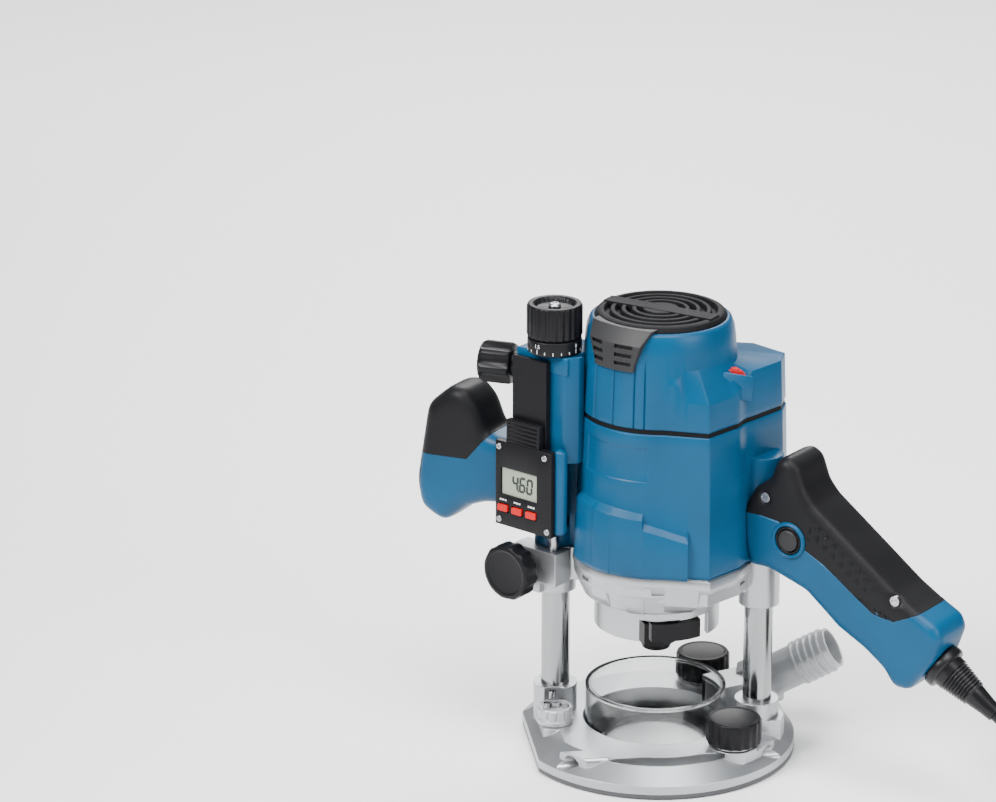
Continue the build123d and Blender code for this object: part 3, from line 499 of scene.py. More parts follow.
def between(angle, low, high):
    """Whether an angle lies between two limits in degrees."""
    return radians(low) <= angle <= radians(high)


def ledge(angle):
    """Height of the ledge at an angle, and how far the wall below it stands proud."""
    for low, high, first, last, rise in LEDGES:
        if between(angle, low, high):
            return first + (last - first) * (degrees(angle) - low) / (high - low), rise
    return PLAIN_LEDGE


def housing_angles():
    corners = [atan2(y, x) for x, y in FRONT_CORNER[1:4] + REAR_LOBE[2:5]]
    for low, high in [side[:2] for side in LEDGES]:
        corners += [radians(low + 0.2), radians(high - 0.2)]
    steps = [radians(-179 + 3 * i) for i in range(120)]
    steps = [s for s in steps if min(abs(s - c) for c in corners) > radians(1.2)]
    return sorted(steps + corners)


def make_motor_housing():
    """The blue motor housing: a tapered drum with proud panels below sloping ledges, and a label recess."""
    def wall(height):
        return lambda a: (housing_reach(a) - (height - HOUSING_FOOT) * TAPER, height)

    def proud(height):
        return lambda a: (wall(height)(a)[0] + ledge(a)[1], height)

    def ledge_edge(a):
        height, rise = ledge(a)
        return wall(height - LEDGE_DROP)(a)[0] + rise, height - LEDGE_DROP

    rows = [lambda a: (proud(HOUSING_FOOT)(a)[0] - 1.4, HOUSING_FOOT), proud(126.5), proud(133), ledge_edge,
            lambda a: wall(ledge(a)[0])(a)]
    rows += [wall(height) for height in (176, 181, 202, 209.4)]
    rows.append(lambda a: (wall(211)(a)[0] - 1.8, 210.6))
    body = lofted("motor_housing_shell", housing_angles(), rows)
    edit(body)

    def label(c, n):
        return abs(n.z) < 0.5 and 181 < c.z < 202 and between(atan2(c.y, c.x), -143, -88)

    pick(body, label)
    bpy.ops.mesh.inset(thickness=0.8 * MM, depth=-0.6 * MM)
    done()
    bevelled(body, 0.5, 24)
    return settle(body, MOTOR, "motor_unit", "blue_plastic", "blue_plastic", "motor_housing")


def make_parting_seal():
    """The dark seal in the groove between the housing and the top cover."""
    def ring(height):
        return lambda a: (housing_reach(a) - (height - HOUSING_FOOT) * TAPER - 0.9, height)

    seal = lofted("parting_seal", housing_angles(), [ring(209.8), ring(213)])
    return settle(seal, MOTOR, "motor_unit", "black_plastic", "matt_black")


def make_sleeves():
    """The housing's round sleeves over both columns, and the left one's neck and flat deck."""
    for name, x, top in (("tower_sleeve", -COLUMN_X, TOWER_TOP), ("right_sleeve", COLUMN_X, 188)):
        sleeve = bevelled(turned(name, [(SLEEVE_R, HOUSING_FOOT), (SLEEVE_R, top)], 64), 1.2)
        place = MOTOR @ Matrix.Translation((x * MM, 0, 0))
        settle(sleeve, place, "motor_unit", "blue_plastic", "blue_plastic")
    for name, x, half, low, top in (
            ("tower_neck", (-60, -40), 8, HOUSING_FOOT, 213),
            ("tower_rib", (-60, -41), 7, 213, 246)):
        neck = bevelled(cube(name, x, (-half, half), (low, top)), 1.0)
        settle(neck, MOTOR, "motor_unit", "blue_plastic", "blue_plastic")
    deck = cube("tower_deck", (-67, -29), (-49.8, -16), (235.5, TOWER_TOP))
    edit(deck)
    pick(deck, lambda c, n: n.y > 0.9)
    bpy.ops.mesh.extrude_region_move(TRANSFORM_OT_translate={"value": (0, 2.5 * MM, 0)})
    bpy.ops.transform.resize(value=(0.6, 1, 1))
    done()
    settle(bevelled(deck, 1.4, 25, 3), DEPTH, "motor_unit", "blue_plastic", "blue_plastic")


def make_tower():
    """The blue wall that closes the gap between the scale bar and the tower."""
    wall = cube("tower_wall", (-52, -31), (-50, -47), (182.5, TOWER_TOP))
    edit(wall)
    pick(wall, lambda c, n: n.x > 0.9)
    bpy.ops.mesh.extrude_region_move(TRANSFORM_OT_translate={"value": (6 * MM, 8 * MM, 0)})
    bpy.ops.transform.resize(value=(1, 1.6, 1))
    pick(wall, lambda c, n: n.y < -0.5 and c.x < -31)
    bpy.ops.mesh.inset(thickness=3 * MM, depth=-0.7 * MM)
    done()
    settle(bevelled(wall, 1.0), DEPTH, "motor_unit", "blue_plastic", "blue_plastic")
    bracket = cube("gauge_bracket", (-33, -26.4), (-57, -49.6), (139.5, 193))
    edit(bracket)
    pick(bracket, lambda c, n: n.x > 0.9)
    bpy.ops.transform.resize(value=(1, 0.7, 0.94))
    cut(bracket, -30.6, 0)
    done()
    settle(bevelled(bracket, 2.2, 30, 3), DEPTH, "depth_carriage", "blue_plastic", "blue_plastic")


def make_dial_pad():
    """The sloping pad that the speed dial shows through."""
    pad = cube("dial_pad", (-12, 12), (-9, 9), (-8, 6.4))
    edit(pad)
    pick(pad, lambda c, n: n.z > 0.9)
    bpy.ops.transform.resize(value=(0.84, 0.84, 1))
    bpy.ops.mesh.inset(thickness=2.4 * MM, depth=0)
    bpy.ops.mesh.inset(thickness=0.8 * MM, depth=-1.6 * MM)
    done()
    place = MOTOR @ Matrix.Translation((43 * MM, -14 * MM, 234.5 * MM)) @ Matrix.Rotation(radians(35), 4, "Z")
    place = place @ Matrix.Rotation(radians(16), 4, "Y")
    settle(bevelled(pad, 0.8), place, "motor_unit", "blue_plastic", "blue_plastic")


FLUTES = (-136, -117, -100, -92, 100, 125)
FLUTE_HALF = 0.8
FLUTE_DEPTH = 1.3
DRUM_WALL = 44


def shoulder(angle):
    """Height of the top cover's outer shoulder, and of the foot of the drum inside it."""
    if between(angle, -66, -28):
        return 230, 247
    if between(angle, -28, -10):
        return 233, 246
    return 240, 243.5


def cover_angles():
    flutes = [radians(middle + side * FLUTE_HALF) for middle in FLUTES for side in (-1, 0, 1)]
    steps = [a for a in housing_angles() if min(abs(a - flute) for flute in flutes) > radians(1)]
    return sorted(steps + flutes)


def make_top_cover():
    """The blue top cover: follows the housing, then slopes in to the drum under the cap."""
    rim = [(43.6, 256), (42.6, 263), (41, 267), (39.4, 268.2), (36.4, 268.2), (36.4, 262)]

    def flute(angle):
        return FLUTE_DEPTH * any(abs(angle - radians(middle)) < radians(0.1) for middle in FLUTES)

    def wall(height):
        return lambda a: (housing_reach(a) - (height - HOUSING_FOOT) * TAPER - 0.2 - flute(a), height)

    def shoulder_row(a):
        height = shoulder(a)[0]
        return wall(height)(a)[0] - 0.2, height

    rows = [lambda a: (wall(212.3)(a)[0] - 1.6, 212.2), wall(213.2), wall(216), shoulder_row,
            lambda a: (DRUM_WALL + 0.3 - flute(a), shoulder(a)[1])]
    rows += [lambda a, spot=spot: spot for spot in rim]
    cover = lofted("top_cover_shell", cover_angles(), rows)
    bevelled(cover, 0.6, 22)
    return settle(cover, MOTOR, "motor_unit", "blue_plastic", "blue_plastic", "top_cover")


# ---------------------------------------------------------------- knobs

def groove(piece, count, ratio, low, high, least):
    """Finger grooves: one strip in four round a side wall moves in towards the axis."""
    step = 360 / count

    def strip(c, n):
        wall = abs(n.z) < 0.4 and low < c.z < high and hypot(c.x, c.y) > least
        return wall and degrees(atan2(c.y, c.x)) % step < step / 4

    edit(piece)
    pick(piece, strip)
    bpy.ops.transform.resize(value=(ratio, ratio, 1), center_override=(0, 0, 0))
    done()


def knob(name, profile, count, ratio, low, high):
    """A turned knob with finger grooves and softened edges."""
    piece = turned(name, profile, sides=4 * count)
    groove(piece, count, ratio, low, high, profile[0][0] * 0.6)
    return bevelled(piece, 0.35, 25)


GAUGE_ROD = Matrix.Translation((-44.9 * MM, -41.6 * MM, 0))


def make_fine_adjust_knob():
    profile = [(14.6, 256.1), (16.2, 257.4), (16.2, 274.4), (15.3, 276), (12.6, 276), (11.4, 274.4),
               (11, 273.2), (4.4, 272.8), (0.3, 272.8)]
    cap = knob("fine_knob_body", profile, 24, 0.955, 257, 275)
    settle(cap, DEPTH @ GAUGE_ROD, "fine_knob", "black_plastic", "black_plastic", "fine_adjust_knob")
    profile = [(3.6, 272.8), (3.6, 274.6), (2.6, 275.6), (1.5, 275.8), (1.4, 274.4), (0.3, 274.3)]
    screw = bevelled(turned("fine_knob_screw", profile, 24), 0.2)
    settle(screw, DEPTH @ GAUGE_ROD, "fine_knob", "steel", "steel")


def make_scale_ring():
    profile = [(6.4, 247.3), (15.0, 247.3), (15.8, 248.2), (15.8, 255.2), (15.2, 255.8), (6.4, 255.8),
               (6.4, 247.3)]
    ring = bevelled(turned("scale_ring_body", profile, 96), 0.2)
    settle(ring, DEPTH @ GAUGE_ROD, "zero_ring", "black_plastic", "black_plastic", "scale_ring")
    ticks = []
    for i in range(20):
        tall = 2.6 if i % 5 == 0 else 1.6
        tick = cube("scale_tick_%d" % i, (15.7, 15.95), (-0.22, 0.22), (248.6, 248.6 + tall))
        tick.data.transform(Matrix.Rotation(radians(18 * i), 4, "Z"))
        ticks.append(tick)
    for i, text in enumerate(("0", "0.5", "1.0", "1.5")):
        ticks.append(ring_number(text, 90 * i))
    marks = joined("scale_ring_marks", ticks)
    settle(marks, DEPTH @ GAUGE_ROD, "zero_ring", "black_plastic", "white_ink")


def ring_number(text, angle):
    """A raised number that faces out from the ring."""
    deselect()
    bpy.ops.object.text_add()
    label = bpy.context.object
    label.data.body = text
    label.data.size = 3.2 * MM
    label.data.extrude = 0.1 * MM
    label.data.align_x = "CENTER"
    bpy.ops.object.convert(target="MESH")
    label = bpy.context.object
    turn = Matrix.Rotation(radians(angle), 4, "Z") @ Matrix.Translation((15.8 * MM, 0, 252 * MM))
    upright = Matrix.Rotation(radians(90), 4, "Z") @ Matrix.Rotation(radians(90), 4, "X")
    label.data.transform(turn @ upright)
    return label


def joined(name, pieces):
    deselect()
    for piece in pieces:
        piece.select_set(True)
    bpy.context.view_layer.objects.active = pieces[0]
    bpy.ops.object.join()
    whole = bpy.context.object
    whole.name = name
    whole.data.name = name
    return whole


def make_clamp_knobs():
    profile = [(14.2, 54.4), (16.6, 55.2), (17, 57), (17, 64), (16, 65.6), (14, 66), (12.6, 65.2), (0.3, 65)]
    rod_knob = knob("rod_clamp_body", profile, 12, 0.93, 56, 65)
    place = DEPTH @ Matrix.Translation((-62 * MM, 0, 112 * MM)) @ Matrix.Rotation(radians(90), 4, "X")
    settle(rod_knob, place, "rod_clamp", "black_plastic", "black_plastic", "rod_clamp_knob")
    stud = turned("rod_clamp_stud", [(3.9, 41), (3.9, 54.6)], 32)
    settle(stud, place, "rod_clamp", "steel", "steel")
    profile = [(12.8, 20.3), (15.8, 20.6), (16.3, 21.8), (16.3, 34.2), (15.4, 35.6), (14, 36), (13, 35.4),
               (0.3, 35.2)]
    for end, y in (("front", -50.5), ("back", 50.5)):
        place = Matrix.Translation((38 * MM, y * MM, 0))
        head = knob("guide_knob_" + end, profile, 18, 0.955, 21, 35)
        settle(head, place, "clamp_" + end, "black_plastic", "black_plastic", "guide_clamp_knob_" + end)
        washer = bevelled(turned("guide_washer_" + end, [(13.2, 18.8), (13.2, 20.2)], 48), 0.3)
        settle(washer, place, "clamp_" + end, "steel", "steel")
        stud = turned("guide_stud_" + end, [(2.9, 16.6), (2.9, 19)], 24)
        settle(stud, place, "clamp_" + end, "steel", "steel")


def make_plunge_lock_knob():
    profile = [(7.8, 20), (7.8, 26), (11.6, 26.2), (12.5, 27.6), (12.5, 43.4), (11.4, 45.6), (9, 46),
               (0.3, 46)]
    grip = knob("plunge_lock_body", profile, 7, 0.8, 27, 44)
    place = MOTOR @ Matrix.Translation((-COLUMN_X * MM, 0, 231 * MM)) @ Matrix.Rotation(radians(172), 4, "Z")
    place = place @ Matrix.Rotation(radians(90), 4, "Y")
    settle(grip, place, "plunge_clamp", "black_plastic", "black_plastic", "plunge_lock_knob")


# ---------------------------------------------------------------- depth gauge

CASE_X = (-74, -32)
CASE_Z = (139, 191)
CASE_FRONT = -60
WINDOW_X = (-70, -43)
WINDOW_Z = (158, 175)
BUTTON_XS = (-68, -57.4, -46.8)
WELL_HALF = 4.2
WELL_Z = (147.6, 152.4)


def cut(piece, at, along):
    """Bisects a piece in edit mode with a plane across one axis."""
    bpy.ops.mesh.select_all(action="SELECT")
    spot = [0, 0, 0]
    normal = [0, 0, 0]
    spot[along] = at * MM
    normal[along] = 1
    bpy.ops.mesh.bisect(plane_co=spot, plane_no=normal)


def make_display_case():
    case = cube("display_case_body", CASE_X, (CASE_FRONT, -54.7), CASE_Z)
    edit(case)
    for x in WINDOW_X:
        cut(case, x, 0)
    for z in WINDOW_Z:
        cut(case, z, 2)
    for x in BUTTON_XS:
        cut(case, x - WELL_HALF, 0)
        cut(case, x + WELL_HALF, 0)
    for z in WELL_Z:
        cut(case, z, 2)

    def window(c, n):
        return n.y < -0.9 and WINDOW_X[0] < c.x < WINDOW_X[1] and WINDOW_Z[0] < c.z < WINDOW_Z[1]

    def wells(c, n):
        return n.y < -0.9 and WELL_Z[0] < c.z < WELL_Z[1] and min(abs(c.x - x) for x in BUTTON_XS) < 2

    pick(case, window)
    push(-2.2)
    pick(case, wells)
    push(-2.4)
    done()
    bevelled(case, 0.8, 40, 3)
    settle(case, DEPTH, "depth_carriage", "black_plastic", "black_plastic", "display_case")
    back = cube("display_case_back", (CASE_X[0] + 1, CASE_X[1] - 0.5), (-54.7, -53.9),
                (CASE_Z[0] + 1, CASE_Z[1] - 1))
    settle(bevelled(back, 0.3), DEPTH, "depth_carriage", "black_plastic", "blue_plastic")
    arm = cube("display_case_arm", (-49.8, -36.4), (-54.2, -37.6), (139.5, 146))
    edit(arm)
    pick(arm, lambda c, n: abs(n.y) > 0.9)
    bpy.ops.mesh.inset(thickness=1.2 * MM, depth=0)
    push(0.3)
    done()
    settle(bevelled(arm, 0.8, 40), DEPTH, "depth_carriage", "black_plastic", "black_plastic")


def make_gauge_grip():
    """The ribbed finger grip that slides over the scale bar."""
    grip = cube("gauge_grip", (-66.5, -42), (CASE_FRONT + 0.2, -54.6), (178.5, 205))
    edit(grip)
    pick(grip, lambda c, n: n.z > 0.9)
    bpy.ops.transform.resize(value=(1, 0.8, 1), center_override=(0, -54.6 * MM, 205 * MM))
    for i in range(10):
        cut(grip, 179.6 + 2.5 * i, 2)
        cut(grip, 180.9 + 2.5 * i, 2)
    cut(grip, -64.8, 0)
    cut(grip, -43.7, 0)
    for i in range(10):
        low = 179.6 + 2.5 * i
        pick(grip, lambda c, n: n.y < -0.6 and low < c.z < low + 1.3 and -64.8 < c.x < -43.7)
        push(-0.9)
    done()
    settle(bevelled(grip, 0.3, 40), DEPTH, "depth_carriage", "black_plastic", "black_plastic")


def mark(x, z, wide, tall, front=-58.72):
    return cube("gauge_mark", (x - wide / 2, x + wide / 2), (front, front + 0.14), (z - tall / 2, z + tall / 2))


def make_lcd():
    """The grey-green display with slanted seven-segment digits, and the marks over the buttons."""
    glass = cube("lcd_glass", (WINDOW_X[0] + 0.1, WINDOW_X[1] - 0.1), (-58.6, -57.4),
                 (WINDOW_Z[0] + 0.1, WINDOW_Z[1] - 0.1))
    settle(glass, DEPTH, "depth_carriage", "lcd", "lcd", "lcd_window")
    lit = {"4": "bcfg", "6": "acdefg", "0": "abcdef"}
    offsets = {"a": (0, 4.2, 1), "g": (0, 0, 1), "d": (0, -4.2, 1), "f": (-1.7, 2.1, 0), "b": (1.7, 2.1, 0),
               "e": (-1.7, -2.1, 0), "c": (1.7, -2.1, 0)}
    marks = []
    for digit, x in (("4", -60), ("6", -54.6), ("0", -49.2)):
        for key in lit[digit]:
            dx, dz, flat = offsets[key]
            wide, tall = (3.2, 1.4) if flat else (1.4, 3.7)
            marks.append(mark(x + dx + dz * 0.1, 166.5 + dz, wide, tall))
    marks.append(mark(-57.6, 162.2, 1.1, 1.1))
    settle(joined("lcd_digits", marks), DEPTH, "depth_carriage", "lcd", "lcd_ink")
    dashes = [mark(x + step, 155, 1.3, 1, CASE_FRONT - 0.08) for x in BUTTON_XS for step in (-1.8, 0, 1.8)]
    settle(joined("button_marks", dashes), DEPTH, "depth_carriage", "lcd", "white_ink")


def make_gauge_screws():
    profile = [(1.9, 0), (1.9, 0.5), (1.5, 0.8), (0.9, 0.8), (0.8, 0.1), (0.2, 0.1)]
    first = bevelled(turned("gauge_screw", profile, 24), 0.1)
    for i, (x, z) in enumerate(((-71, 142.5), (-35, 142.5), (-71.2, 187.5), (-37, 187.5))):
        screw = first if i == 3 else first.copy()
        if i < 3:
            screw.data = first.data.copy()
            bpy.context.scene.collection.objects.link(screw)
        screw.name = "gauge_screw_%d" % (i + 1)
        place = DEPTH @ Matrix.Translation((x * MM, CASE_FRONT * MM, z * MM))
        place = place @ Matrix.Rotation(radians(90), 4, "X")
        settle(screw, place, "depth_carriage", "steel", "steel")


# ---------------------------------------------------------------- vent cap

PANEL_TURN = -118
SLOT_COLUMNS = [(-14, -6.5), (1.5, 12)]
SLOT_ROWS = [(249.6, 252), (254.6, 257), (259.6, 262)]


def make_vent_cap():
    """The round cap with ring slots, and the slotted grey panel down the front of the drum."""
    profile = [(36, 262), (38.4, 266), (38.4, 268.8), (36.8, 270.8), (34.8, 271.6), (32.8, 271.6),
               (32, 268.6), (29.6, 268.6), (29, 271.4), (26.6, 271.6), (26, 268.4), (23.4, 268.4),
               (22.8, 271.6), (20.4, 271.8), (19.8, 268.4), (17.2, 268.4), (16.6, 271.8), (14.2, 272),
               (13.6, 268.4), (11, 268.4), (10.4, 271.9), (0.3, 272)]
    cap = bevelled(turned("vent_cap_body", profile, 96), 0.35, 25)
    settle(cap, MOTOR, "motor_unit", "black_plastic", "matt_black", "vent_cap")
    bar = cube("vent_bar", (-35.5, 35.5), (-5.2, 5.2), (266, 272.4))
    edit(bar)
    pick(bar, lambda c, n: n.z > 0.9)
    bpy.ops.mesh.inset(thickness=1.6 * MM, depth=-0.5 * MM)
    done()
    settle(bevelled(bar, 0.5, 30), MOTOR @ Matrix.Rotation(radians(-20), 4, "Z"), "motor_unit",
           "black_plastic", "matt_black")
    make_vent_panel()


def make_vent_panel():
    panel = cube("vent_panel", (40, 46), (-17, 17), (246.5, 270.4))
    edit(panel)
    pick(panel, lambda c, n: n.z < -0.9)
    bpy.ops.transform.resize(value=(1, 0.8, 1), center_override=(0, 0, 0))
    for y in [edge for column in SLOT_COLUMNS for edge in column] + [-10.2, -3.6, -1, 5, 8.5, 14.5]:
        cut(panel, y, 1)
    for z in [edge for row in SLOT_ROWS for edge in row]:
        cut(panel, z, 2)

    def slots(c, n):
        in_column = any(low < c.y < high for low, high in SLOT_COLUMNS)
        return n.x > 0.8 and in_column and any(low < c.z < high for low, high in SLOT_ROWS)

    pick(panel, slots)
    push(-1.5)
    done()
    # The slot floors are kept apart to take the black plastic, darker than the panel: painted shade for the
    # dark inside of the open slots.
    dark = [face.index for face in panel.data.polygons if face.select]
    for vertex in panel.data.vertices:
        x, y, z = vertex.co / MM
        around = 44 - (44 ** 2 - y ** 2) ** 0.5
        lean = max(0, z - 262) * 0.75
        vertex.co.x = (x - around - lean) * MM
        vertex.co.y = y * (1 + 0.012 * max(0, z - 250)) * MM
    place = MOTOR @ Matrix.Rotation(radians(PANEL_TURN), 4, "Z")
    settle(panel, place, "motor_unit", "black_plastic", "vent_plastic")
    # Painted shade: the slot floors take the darker black plastic in place of the shadowed inside of the open
    # slots.
    panel.data.materials.append(MATERIALS["black_plastic"])
    for index in dark:
        panel.data.polygons[index].material_index = 1
    bpy.ops.object.shade_smooth_by_angle(angle=radians(30))


# ---------------------------------------------------------------- handles

SPLIT = [(-20, 156), (13, 157), (24, 156), (42, 142.5), (55, 136.5), (75, 123), (89, 114), (102, 112.5),
         (119, 120.5), (130, 135), (90, 230), (-20, 230)]
LEFT_SPLIT = [(30, 196), (52, 170), (84, 168), (87, 138), (100, 138), (100, 230), (30, 230)]


def node_copy(node):
    deselect()
    piece = frame["nodes"][node].copy()
    piece.data = frame["nodes"][node].data.copy()
    for key in list(piece.keys()):
        del piece[key]
    piece.parent = None
    piece.hide_render = False
    piece.hide_viewport = False
    bpy.context.scene.collection.objects.link(piece)
    return piece


def inside(outline, x, z):
    """Whether a point lies inside a flat outline."""
    hits = False
    for (ax, az), (bx, bz) in zip(outline, outline[1:] + outline[:1]):
        if (az > z) != (bz > z) and x < ax + (z - az) / (bz - az) * (bx - ax):
            hits = not hits
    return hits


def moulded_pair(parts, place, outline, rounds, held):
    """A handle's hard body and soft skin: both solids remeshed as one, smoothed and parted along an outline.

    Near the housing, up to held mm out, the shape stays as it was, so that the joint keeps closed.
    """
    (body_name, body_node), (skin_name, skin_node) = parts
    piece = joined(body_name, [node_copy(body_node), node_copy(skin_node)])
    edit(piece)
    bpy.ops.mesh.select_all(action="SELECT")
    bpy.ops.mesh.remove_doubles(threshold=0.00001)
    done()
    remesh = piece.modifiers.new("remesh", "REMESH")
    remesh.mode = "VOXEL"
    remesh.voxel_size = 0.9 * MM
    bpy.ops.object.modifier_apply(modifier="remesh")
    back = place.inverted()
    before = [vertex.co.copy() for vertex in piece.data.vertices]
    relax = piece.modifiers.new("relax", "SMOOTH")
    relax.factor = 0.5
    relax.iterations = rounds
    bpy.ops.object.modifier_apply(modifier="relax")
    for vertex, start in zip(piece.data.vertices, before):
        share = ((back @ start).x / MM - held) / 14
        vertex.co = start.lerp(vertex.co, min(1, max(0, share)))
    edit(piece)
    for (ax, az), (bx, bz) in zip(outline, outline[1:] + outline[:1]):
        bpy.ops.mesh.select_all(action="SELECT")
        across = place.to_3x3() @ Vector((bz - az, 0, ax - bx)).normalized()
        bpy.ops.mesh.bisect(plane_co=place @ Vector((ax * MM, 0, az * MM)), plane_no=across)

    def in_skin(c, n):
        spot = back @ (c * MM) / MM
        return inside(outline, spot.x, spot.z)

    pick(piece, in_skin)
    bpy.ops.mesh.separate(type="SELECTED")
    done()
    skin = [other for other in bpy.context.selected_objects if other is not piece][0]
    skin.name = skin_name
    skin.data.name = skin_name
    for half in (piece, skin):
        edit(half)
        bpy.ops.mesh.select_all(action="SELECT")
        bpy.ops.mesh.fill_holes(sides=0)
        done()
        bpy.ops.object.shade_smooth_by_angle(angle=radians(50))
    settle(piece, ROW, "motor_unit", "blue_plastic", "blue_plastic", body_node)
    return settle(skin, ROW, "motor_unit", "soft_grip", "soft_grip", skin_node)


def make_handles():
    left = (("left_handle_shell", "left_handle"), ("left_grip_skin", "left_grip"))
    moulded_pair(left, LEFT, LEFT_SPLIT, 170, 16)
    right = (("right_spine_shell", "right_handle_spine"), ("right_grip_skin", "right_handle_grip"))
    dimple(moulded_pair(right, RIGHT, SPLIT, 60, 8))


# Where the dimples may lie, clear of the grip's seams
DIMPLED = [(43, 150), (46, 164), (60, 155), (90, 133), (90, 124), (76, 131), (56, 144)]
DIMPLE_R = 1.9
DIMPLE_DEPTH = 0.9


def dimple(grip):
    """Rows of small dimples over both cheeks of the right grip."""
    back = RIGHT.inverted()
    first = Vector((49, 162))
    along = Vector((0.81, -0.58))
    down = Vector((-0.58, -0.81))
    spots = [first + down * (5.6 * row - 3) + along * (6.8 * step + 3.4 * (row % 2))
             for row in range(4) for step in range(8)]
    for vertex in grip.data.vertices:
        local = back @ vertex.co / MM
        near = min((Vector((local.x, local.z)) - spot).length for spot in spots)
        if near < DIMPLE_R and abs(local.y) > 9 and inside(DIMPLED, local.x, local.z):
            vertex.co -= vertex.normal * (DIMPLE_DEPTH * MM * (1 - (near / DIMPLE_R) ** 2))


def make_strain_relief():
    """Black collar and ribbed taper where the cord leaves the right handle."""
    profile = [(9.2, -2), (9.2, 0.4), (13.0, 1.9), (13.5, 3), (13.5, 6.4), (12.6, 7.6), (10.6, 8),
               (10.4, 12.5)]
    for i in range(8):
        start = 12.5 + 1.9 * i
        reach = 10.0 - 0.29 * i
        profile += [(reach - 0.7, start + 0.2), (reach - 0.7, start + 0.7), (reach, start + 0.9),
                    (reach, start + 1.9)]
    profile += [(7.0, 28.4), (5.6, 38), (5.0, 44.6), (4.4, 45)]
    relief = bevelled(turned("strain_relief_sleeve", profile, 64), 0.2, 25)
    place = RIGHT @ Matrix.Translation((122.2 * MM, 0, 88 * MM)) @ Matrix.Rotation(radians(31 + 90), 4, "Y")
    return settle(relief, place, "motor_unit", "cord_rubber", "cord_rubber", "strain_relief")


def make_lock_button():
    """Lock-on button in its black ring, set in a blue ring on the handle's cheek."""
    place = RIGHT @ Matrix.Translation((31.5 * MM, 0, 146 * MM)) @ Matrix.Rotation(radians(90), 4, "X")
    blue = [(8.6, 12), (11, 12), (11, 18.6), (10.2, 19.8), (9.2, 19.8), (8.6, 19), (8.6, 12)]
    settle(bevelled(turned("lock_boss", blue, 64), 0.4), place, "motor_unit", "blue_plastic", "blue_plastic")
    black = [(6.8, 12), (8.55, 12), (8.55, 18.6), (8, 19.2), (7.2, 19.2), (6.8, 18.6), (6.8, 12)]
    ring = bevelled(turned("lock_ring", black, 64), 0.2)
    settle(ring, place, "motor_unit", "black_plastic", "black_plastic")
    top = [(6.4, 9), (6.4, 19.4), (5.8, 20.2), (4, 20.5), (0.3, 20.5)]
    cap = bevelled(turned("lock_cap", top, 48), 0.3)
    settle(cap, place, "lock_on", "black_plastic", "vent_plastic", "lock_button")


def make_plug():
    """Two-pin mains plug, lying on the coil."""
    place = Matrix.Translation((COIL_AT[0] * MM, COIL_AT[1] * MM, 0))
    place = place @ Matrix.Rotation(radians(PLUG_TURN), 4, "Z") @ Matrix.Translation((0, 44 * MM, 0))
    body = cube("plug_body", (-18, 6), (-14, 14), (24.2, 46))
    edit(body)
    pick(body, lambda c, n: n.x > 0.9)
    bpy.ops.mesh.extrude_region_move(TRANSFORM_OT_translate={"value": (8 * MM, 0, 0)})
    bpy.ops.transform.resize(value=(1, 0.6, 0.75), center_override=(0, 0, 35 * MM))
    bpy.ops.mesh.extrude_region_move(TRANSFORM_OT_translate={"value": (6 * MM, 0, 0)})
    bpy.ops.transform.resize(value=(1, 0.65, 0.7), center_override=(0, 0, 35 * MM))
    pick(body, lambda c, n: abs(n.y) > 0.9 and c.x < 6)
    bpy.ops.mesh.inset(thickness=3 * MM, depth=-0.8 * MM)
    done()
    bevelled(body, 2.0, 30, 3)
    settle(body, place, "base", "cord_rubber", "cord_rubber", "mains_plug")
    pins = []
    for y in (-9.5, 9.5):
        pin = turned("plug_pin", [(2.3, 18), (2.3, 36), (1.6, 37), (0.2, 37)], 24)
        pin.data.transform(Matrix.Translation((0, y * MM, 35 * MM)) @ Matrix.Rotation(radians(-90), 4, "Y"))
        pins.append(pin)
    pins = settle(joined("plug_pins", pins), place, "base", "steel", "steel")
    return [body, pins]


def make_column_springs():
    """The spring inside each column: the one springs node split into a left and a right piece, both riding on
    the base.
    """
    for side, sign in (("left", -1), ("right", 1)):
        spring = node_copy("column_springs")
        edit(spring)
        pick(spring, lambda c, n: c.x * sign < 0)
        bpy.ops.mesh.delete(type="FACE")
        done()
        spring.name = "column_spring_" + side
        spring.data.name = spring.name
        settle(spring, ROW, "base", "steel", "steel", "column_springs")
        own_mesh(spring)


# ---------------------------------------------------------------- plunge casting

SKIRT = [
    # from, to (degrees), how far the facet stands in from the flange, and its lower height
    (-150, -132, 2.0, 104),
    (-132, -118, 0.0, 100),
    (-118, -104, 3.5, 102),
    (-104, -90, 1.0, 99),
    (-90, -76, 3.0, 103),
    (-76, -56, 0.5, 101),
    (-56, -36, 3.0, 106),
    (-36, -18, 1.0, 108),
]


def skirt(angle):
    for low, high, inset, height in SKIRT:
        if between(angle, low, high):
            return inset, height
    return 1.5, 106


def make_casting_skirt():
    """The scalloped, faceted flange of the light casting, down to the rounded chin."""
    angles = [atan2(y, x) for x, y in FRONT_CORNER[1:4]]
    for low, high in [side[:2] for side in SKIRT]:
        angles += [radians(low + 0.3), radians(high - 0.3)]
    steps = [radians(-178 + 4 * i) for i in range(90)]
    angles = sorted(angles + [a for a in steps if min(abs(a - b) for b in angles) > radians(1.5)])

    def corner(a):
        return max(DRUM_R, ray_length(FRONT_CORNER, a))

    def lower(a):
        inset, height = skirt(a)
        return corner(a) - inset - 0.4, height + 6

    def pulled(a):
        return 0.45 * corner(a) + 0.55 * 40, skirt(a)[1]

    rows = [lambda a: (corner(a) - 8, 123.6), lambda a: (corner(a) + 0.5, 123.6),
            lambda a: (corner(a) + 1.0, 119), lambda a: (corner(a) + 0.2, 117.4), lower, pulled,
            lambda a: (37.4, 97), lambda a: (35.6, 95), lambda a: (33, 94)]
    body = lofted("casting_skirt", angles, rows)
    settle(bevelled(body, 0.7, 24), MOTOR, "motor_unit", "cast_aluminium", "cast_aluminium")


# ---------------------------------------------------------------- cord

def smooth(share):
    share = max(0.0, min(1.0, share))
    return share * share * (3 - 2 * share)


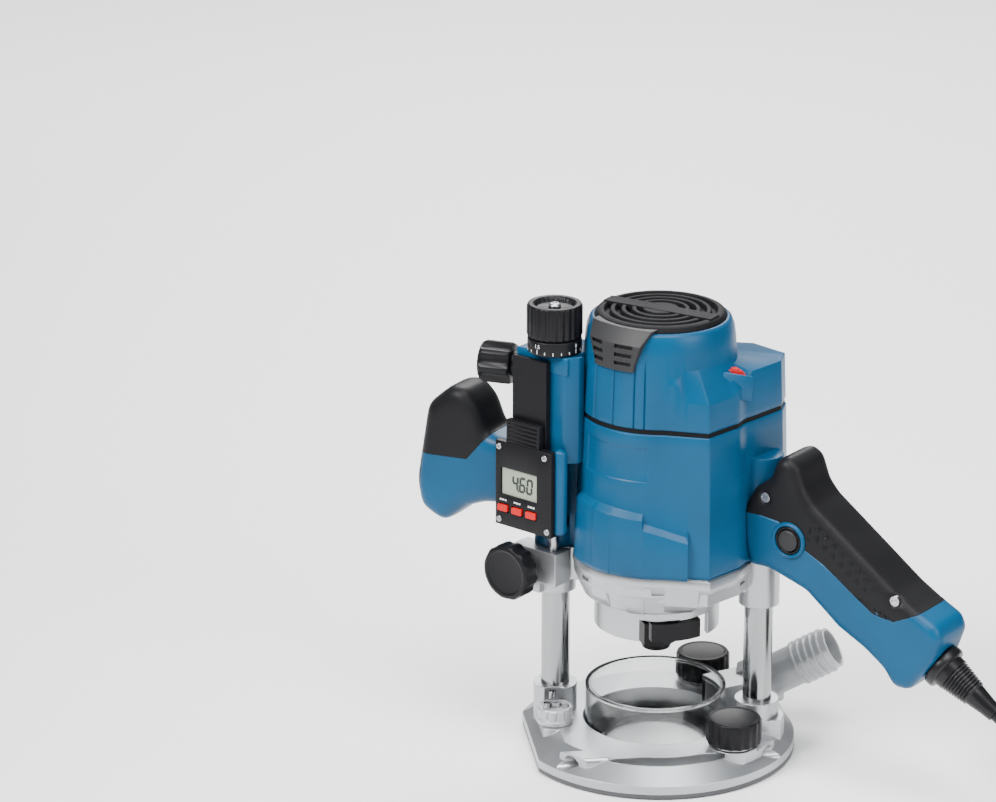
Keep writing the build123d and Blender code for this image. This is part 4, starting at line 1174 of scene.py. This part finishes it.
def coil_points():
    """The put-away turns: three wide, three high, each moving over to the next place late in its turn."""
    lanes = [(r, COIL_LAYERS[0]) for r in COIL_COLUMNS]
    lanes += [(r, COIL_LAYERS[1]) for r in reversed(COIL_COLUMNS)]
    lanes += [(r, COIL_LAYERS[2]) for r in COIL_COLUMNS[:2]]
    points = []
    for (radius, height), (next_radius, next_height) in zip(lanes, lanes[1:] + [lanes[-1]]):
        last = (radius, height) == lanes[-1]
        for step in range(20 if last else COIL_STEPS):
            turn = 360 * step / COIL_STEPS
            over = smooth((turn - 130) / 190)
            up = smooth((turn - 60) / 190)
            r = radius + (next_radius - radius) * over
            z = height + (next_height - height) * up
            angle = radians(COIL_START + turn)
            points.append((COIL_AT[0] + r * cos(angle), COIL_AT[1] + r * sin(angle), z))
    return points


def plug_tail():
    """From the last turn on top of the coil up to the back of the plug, nearly in line with the turns."""
    points = []
    for step in range(8):
        share = step / 7
        angle = radians(-85 + 88 * share)
        radius = 44 + 4.5 * smooth(share * 1.3)
        height = 20 + 15 * smooth(share * 1.08)
        points.append((COIL_AT[0] + radius * cos(angle), COIL_AT[1] + radius * sin(angle), height))
    return points


def make_cord(plug):
    route = CORD_ROUTE + coil_points() + plug_tail()
    curve = bpy.data.curves.new("mains_cord", "CURVE")
    curve.dimensions = "3D"
    spline = curve.splines.new("NURBS")
    spline.points.add(len(route) - 1)
    for point, at in zip(spline.points, route):
        point.co = (*(c * MM for c in at), 1)
    spline.order_u = 3
    spline.use_endpoint_u = True
    spline.resolution_u = 6
    cord = bpy.data.objects.new("mains_cord", curve)
    bpy.context.scene.collection.objects.link(cord)
    line = bpy.data.meshes.new_from_object(cord)
    curve.bevel_depth = CORD_R
    curve.bevel_resolution = 4
    curve.use_fill_caps = True
    curve.materials.append(MATERIALS["cord_rubber"])
    activate(cord)
    bpy.ops.object.convert(target="MESH")
    cord = bpy.context.object
    bpy.ops.object.shade_smooth()
    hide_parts("cord_tube", "cord_coil")
    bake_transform(cord)


# ---------------------------------------------------------------- the scene

# Nodes whose finish differs from their slot's
SHOWN_AS = {"collet_nut": "black_plastic", "turret_screws": "chrome_steel"}


def dress_frame_nodes():
    """Every shown frame node takes the material of its slot."""
    slots = {part["node"]: part["material_slot"] for part in frame["record"]["subparts"]}
    for name, node in frame["nodes"].items():
        node.data.materials.clear()
        node.data.materials.append(MATERIALS[SHOWN_AS.get(name, slots[name])])


MATERIALS = make_materials()
make_stage()
dress_frame_nodes()
make_cord(make_plug())
make_motor_housing()
make_top_cover()
make_parting_seal()
make_sleeves()
make_tower()
make_dial_pad()
make_fine_adjust_knob()
make_scale_ring()
make_clamp_knobs()
make_plunge_lock_knob()
make_display_case()
make_gauge_grip()
make_lcd()
make_gauge_screws()
make_vent_cap()
make_handles()
make_strain_relief()
make_lock_button()
make_casting_skirt()
make_column_springs()
